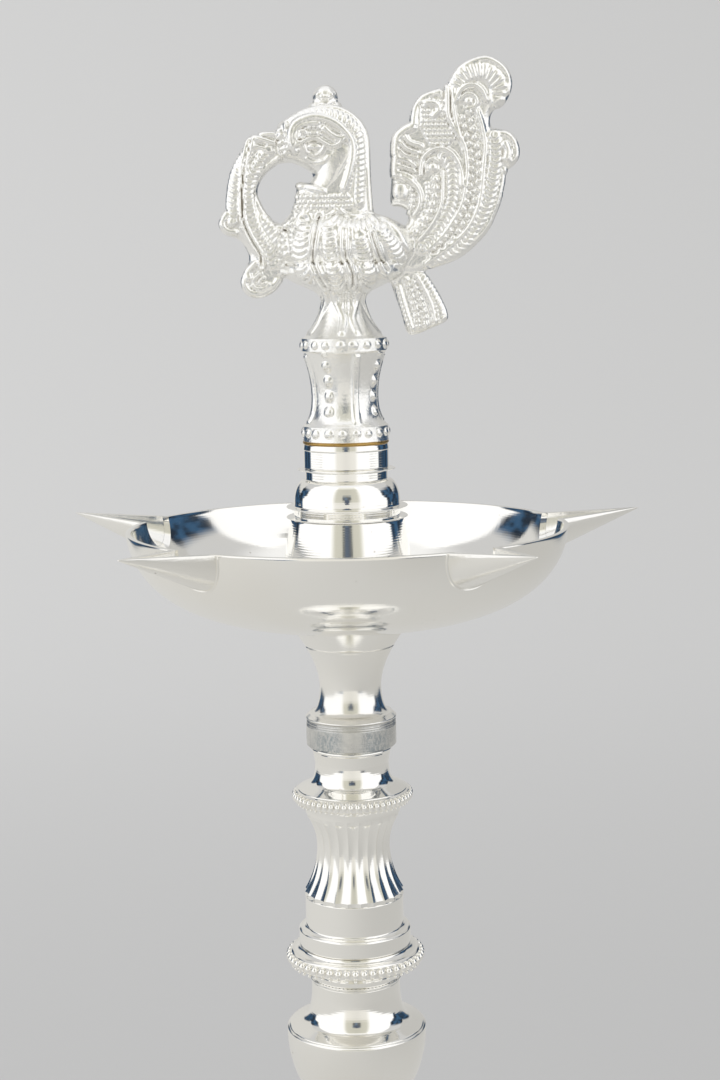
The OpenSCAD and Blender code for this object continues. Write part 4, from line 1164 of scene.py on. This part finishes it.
def plate(name, outline, half, ease, blunt):
    # flat casting cut to an outline, thick in the middle and easing to a blunt edge
    path = smoothPath(outline, closed=True)
    piece = drawCurve(name, [(x * mm, z * mm, 0) for x, z in path], closed=True,
                      dimensions="2D", fill_mode="BOTH", extrude=half * mm)
    piece.data.transform(Matrix.Translation((0, 0, birdFoot * mm)) @ Matrix.Rotation(quarterTurn, 4, "X"))
    closeSkin(piece)
    remeshed(piece, birdSizes["plateGrain"])
    spots = spotsOf(piece)
    far = nearest(spots[:, (0, 2)] - (0, birdFoot), np.array(path + path[:1]))[2]
    spots[:, 1] *= blunt + (1 - blunt) * dome(1 - unit(far / ease))
    moveSpots(piece, spots)
    return piece


def lump(place, radii):
    dropSelection()
    bpy.ops.mesh.primitive_uv_sphere_add(segments=48, ring_count=32, radius=mm)
    piece = bpy.context.object
    editAll(piece)
    bpy.ops.transform.resize(value=radii)
    bpy.ops.transform.translate(value=(place[0] * mm, place[1] * mm, (place[2] + birdFoot) * mm))
    leaveEdit()
    return piece


s = birdSizes
crestX, crestZ = s["crest"]
outlines = {"tail": tailOutline, "garland": garlandOutline, "head": headOutline, "rump": rumpOutline}
forms = [plate(name, outline, *s[name]) for name, outline in outlines.items()]
forms.append(lump((s["body"][0], 0, s["body"][1]), s["bodyRadii"]))
forms.append(lump((crestX, 0, crestZ), (s["crestRadius"],) * 3))
forms += [lump((crestX + out, 0, crestZ + up), s["leafRadii"]) for out, up in s["leaves"]]
bellFoot = s["bell"][0][1]
bell = turned("bell", [(0, bellFoot)] + s["bell"] + [(0, s["bell"][-1][1]), (0, bellFoot)], birdFoot,
              steps=96, soften=0)
bell.data.transform(Matrix.Diagonal((1, s["bellFlat"], 1, 1)))
forms.append(bell)
bird = remeshed(joinAll(forms, "finialBird"), s["grain"])
eased = bird.modifiers.new("cast edges", "SMOOTH")
eased.factor = 0.5
eased.iterations = 5
applyAll(bird)
spots = spotsOf(bird)
ways = np.empty(len(spots) * 3)
bird.data.vertices.foreach_get("normal", ways)
ways = ways.reshape(-1, 3)
lift = relief(spots[:, (0, 2)] - (0, birdFoot), tailWork + garlandWork + headWork + bodyWork + rumpWork)
facing = unit((abs(ways[:, 1]) - 0.12) / 0.3)  # the work fades out where the skin turns to the edge
spots += ways * (lift * facing)[:, None]
moveSpots(bird, spots)
smoothByAngle(bird, 60)
settle(bird, "finial", cast, "finial_bird")
print("bird made,", len(bird.data.polygons), "faces")


# threaded rod and stud, nut and washer

threadSizes = {"rod": (5.0, 1.5), "stud": (4.0, 1.25), "deep": 0.58, "start": 0.6, "chamfer": 0.25,
               "steps": 28}  # rod and stud as (radius, pitch)
nutSizes = {"flats": 17.0, "height": 8.0, "bore": 5.08, "chamfer": 0.9, "steep": 0.62, "past": 0.2}
baseWasherSizes = {"bore": boreRadius, "radius": 13.0, "thick": 2.0}


def threaded(name, node, body, radius, pitch):
    # one helix of core and crest from end to end, run out at both ends and closed with flat faces
    steps, start, foot = threadSizes["steps"], threadSizes["start"], footOf(node)
    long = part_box(node)[1].z / mm - foot
    core = radius - pitch * threadSizes["deep"]
    end = core - threadSizes["chamfer"]
    count = int((long - 2 * start - pitch) / pitch) * steps
    points = []

    def spot(reach, turn, height):
        points.append((reach * math.cos(turn) * mm, reach * math.sin(turn) * mm, (foot + height) * mm))
        return len(points) - 1

    angle = [fullTurn * k / steps for k in range(count + steps + 1)]
    root = [spot(core, angle[k], start + pitch * k / steps) for k in range(count + steps + 1)]
    crest = [spot(core + (radius - core) * min(1.0, k / steps, (count - k) / steps), angle[k],
                  start + pitch * (k / steps + 0.5)) for k in range(count + 1)]
    low = [spot(end, angle[k], 0) for k in range(steps)]
    high = [spot(end, angle[count + k], long) for k in range(steps)]
    faces = []
    for k in range(count):
        faces.append((root[k], root[k + 1], crest[k + 1], crest[k]))
        faces.append((crest[k], crest[k + 1], root[k + 1 + steps], root[k + steps]))
    for k in range(steps - 1):
        faces.append((low[k], low[k + 1], root[k + 1], root[k]))
        faces.append((root[count + k + 1], root[count + k + 2], high[(k + 2) % steps], high[k + 1]))
    faces.append((low[-1], low[0], root[0], crest[0], root[steps], root[steps - 1]))
    faces.append((root[count], root[count + 1], high[1], high[0], root[count + steps], crest[count]))
    faces += [tuple(low[::-1]), tuple(high)]
    mesh = bpy.data.meshes.new(name)
    mesh.from_pydata(points, [], faces)
    piece = linked(name, mesh)
    closeSkin(piece, 1e-7)
    smoothByAngle(piece, 35)
    settle(piece, body, steel, node)


threaded("tieRod", "tie_rod", "stem", *threadSizes["rod"])
threaded("finialStud", "finial_stud", "finial", *threadSizes["stud"])
flatRing("baseWasher", "base_washer", baseWasherSizes, "stem", "steel", steel, soften=0.25)

s = nutSizes
sixth = math.pi / 6
corner, slope = s["flats"] / 2 / math.cos(sixth), s["chamfer"] * s["steep"]
nutFoot = footOf("base_nut")
dropSelection()
bpy.ops.mesh.primitive_cylinder_add(vertices=6, radius=corner * mm, depth=s["height"] * mm)
nut = bpy.context.object
nut.name = "baseNut"
nut.data.transform(Matrix.Translation((0, 0, (nutFoot + s["height"] / 2) * mm))
                   @ Matrix.Rotation(sixth, 4, "Z"))
outline = bored([(corner - s["chamfer"], 0), (corner + s["past"], slope),
                 (corner + s["past"], s["height"] - slope), (corner - s["chamfer"], s["height"])],
                s["height"], s["bore"])
blank = turned("nutBlank", outline, nutFoot, soften=0)
cutBy(nut, blank, operation="INTERSECT")
discard(blank)
closeSkin(nut)
smoothByAngle(nut, 25)
settle(nut, "stem", steel, "base_nut")
print("rod, stud, nut and washer made")


# camera at the photograph's place, for a 720 by 1080 picture

cameraPlace = {"at": (0.00356, -0.5415, 0.4394), "pitch": 0.1374, "roll": 0.0179, "lens": 62.8}
c = cameraPlace
ahead = Vector((0, math.cos(c["pitch"]), -math.sin(c["pitch"])))
upright = Vector((0, math.sin(c["pitch"]), math.cos(c["pitch"])))
across = Vector((1, 0, 0))
right = across * math.cos(c["roll"]) - upright * math.sin(c["roll"])
top = across * math.sin(c["roll"]) + upright * math.cos(c["roll"])
cameraData = bpy.data.cameras.new("camera")
cameraData.lens = c["lens"]
cameraData.sensor_width = 36
cameraData.clip_start = 0.01
camera = linked("camera", cameraData)
camera.matrix_world = Matrix(((right.x, top.x, -ahead.x, c["at"][0]), (right.y, top.y, -ahead.y, c["at"][1]),
                              (right.z, top.z, -ahead.z, c["at"][2]), (0, 0, 0, 1)))
bpy.context.scene.camera = camera

# table with a swept-up back, pale grey, its glow painted darker to the right and towards the front; where
# silver mirrors its far sides it shows the dark room

darkRoom = {"slate": (0.022, 0.032, 0.048, 1), "blue": (0.045, 0.105, 0.195, 1)}
sweepSizes = {"front": -1.2, "back": 1.3, "curve": 0.9, "top": 2.6, "half": 3.2, "below": 0.0003}


def roomDark(r, place, scale):
    return r.blend(r.noise(place, scale, 3.0).between(0.42, 0.6), darkRoom["slate"], darkRoom["blue"])


s = sweepSizes
path = [(s["front"], 0), (s["back"], 0)]
path += [(s["back"] + s["curve"] * math.sin(quarterTurn * i / 24),
          s["curve"] * (1 - math.cos(quarterTurn * i / 24))) for i in range(1, 25)]
path += [(s["back"] + s["curve"], s["top"])]
sweep = drawLine((-s["half"], path[0][0], path[0][1] - s["below"]),
                 [(0, b[0] - a[0], b[1] - a[1]) for a, b in zip(path, path[1:])])
bpy.ops.mesh.extrude_region_move(TRANSFORM_OT_translate={"value": (2 * s["half"], 0, 0)})
bpy.ops.mesh.select_all(action="SELECT")
bpy.ops.mesh.normals_make_consistent(inside=False)
leaveEdit()
bpy.ops.object.shade_smooth()
sweep.name = "sweep"
r = newRecipe("paleTable")
spot = r.place()
placeX, placeY, placeZ = (r.along(spot, axis) for axis in "XYZ")
# painted light falloff: the table as the camera sees it is darker to the right and towards the front
level = placeX.between(-0.9, 0.9, 0.655, 0.57) * placeY.between(0.3, 1.8, 0.81, 1.0)
lit = r.add("ShaderNodeBsdfDiffuse", None, {"Color": (0.80, 0.80, 0.80, 1)})
paintedFalloffGlow = r.glow(r.tint(level, level, level))
# painted light falloff: in the silver the table shows brighter on the left and darker on the right
mirroredFalloff = placeX.between(-0.8, 0.8, 0.70, 0.55)
pale = r.tint(mirroredFalloff, mirroredFalloff * 0.99, mirroredFalloff * 0.955)
aside = placeY.between(0.9, 1.4) * placeX.size().between(0.8, 1.2) * placeZ.between(0.7, 1.2, 1, 0)
mirrored = r.glow(r.blend(aside, pale, roomDark(r, spot, 4)))
shader = r.add("ShaderNodeMixShader", None, [r.ray("Is Glossy Ray"), lit, mirrored])
shader = r.add("ShaderNodeMixShader", None, [r.ray("Is Camera Ray") * 0.8, shader, paintedFalloffGlow])
sweep.data.materials.append(r.finish(shader))

# the camera's own dark front, which the silver shows as a small dot

lensSizes = {"radius": 0.06, "behind": 0.05, "glass": (0.10, 0.12, 0.16, 1)}
dropSelection()
bpy.ops.mesh.primitive_circle_add(vertices=32, radius=lensSizes["radius"], fill_type="NGON")
lensFront = bpy.context.object
lensFront.name = "lensFront"
lensFront.data.transform(Matrix.Translation(Vector(c["at"]) - Vector((0, lensSizes["behind"], 0)))
                         @ Matrix.Rotation(quarterTurn, 4, "X"))
lensFront.visible_camera = False
lensFront.visible_diffuse = False
lensFront.visible_shadow = False
r = newRecipe("lensFront")
lensFront.data.materials.append(r.finish(r.glow(lensSizes["glass"])))

# studio, in degrees round the lamp and up: two wide softboxes either side of the camera, a pale wall between
# them with a dark slot, a dim back wall, a bright ceiling and a dark room beyond

studioSizes = {"gap": (22, 34), "leftEnd": (-114, -108), "rightEnd": (95, 100), "narrowing": (2, 14, 0, 12),
               "foot": (-10.5, -9), "roof": (50, 68), "wallFoot": (-24, -20), "slotSide": (8, 11),
               "slotFoot": (8, 11), "slotTop": (20, 27), "behind": (146, 158), "backFoot": (20, 32)}
studioTone = {"boxes": 1.1, "slot": 0.8, "back": 0.62, "ceiling": 0.95, "pale": (0.61, 0.61, 0.61, 1)}
world = bpy.data.worlds.new("studio")
bpy.context.scene.world = world
r, a, tone = Recipe(world), studioSizes, studioTone
way = r.add("ShaderNodeTexCoord", out="Generated")
wayX, wayY, wayZ = (r.along(way, axis) for axis in "XYZ")
turn = r.math("ARCTAN2", wayX, wayY * -1) * (180 / math.pi)
aside = turn.size()
rise = wayZ.math("ARCSINE") * (180 / math.pi)
under = rise.between(*a["roof"], 1, 0)
narrower = rise.between(*a["narrowing"])
boxes = aside.between(*a["gap"]) * (turn - narrower).between(*a["leftEnd"])
boxes = boxes * (turn + narrower).between(*a["rightEnd"], 1, 0) * rise.between(*a["foot"]) * under
gapWall = aside.between(*a["gap"], 1, 0) * rise.between(*a["wallFoot"]) * under
slot = aside.between(*a["slotSide"], 1, 0) * rise.between(*a["slotFoot"]) * rise.between(*a["slotTop"], 1, 0)
back = aside.between(*a["behind"]).most(rise.between(*a["backFoot"]))
back = back * (1 - (boxes + gapWall).least(1.0)) * under
overhead = (1 - under) * tone["ceiling"]
wall = aside.between(0, 24, 0.80, 0.87) * rise.between(0, 10, 1.0, 0.74) * (1 - slot * tone["slot"])
level = boxes * tone["boxes"] + gapWall * wall + back * tone["back"] + overhead
lit = (boxes + gapWall * (1 - slot) + back + overhead).least(1.0)
cream = 1 - gapWall * rise.between(0, 10, 0.08, 0.15)
room = r.glow(r.tint(level, level * (1 - gapWall * 0.02), level * cream), "ShaderNodeBackground")
shade = r.glow(r.blend(lit, roomDark(r, way, 7), (0, 0, 0, 1)), "ShaderNodeBackground")
studio = r.add("ShaderNodeAddShader", None, [room, shade])
pale = r.glow(tone["pale"], "ShaderNodeBackground")
r.finish(r.add("ShaderNodeMixShader", None, [r.ray("Is Camera Ray"), studio, pale]), "ShaderNodeOutputWorld")
bpy.context.scene.view_settings.view_transform = "Standard"
print("camera, table and studio set")
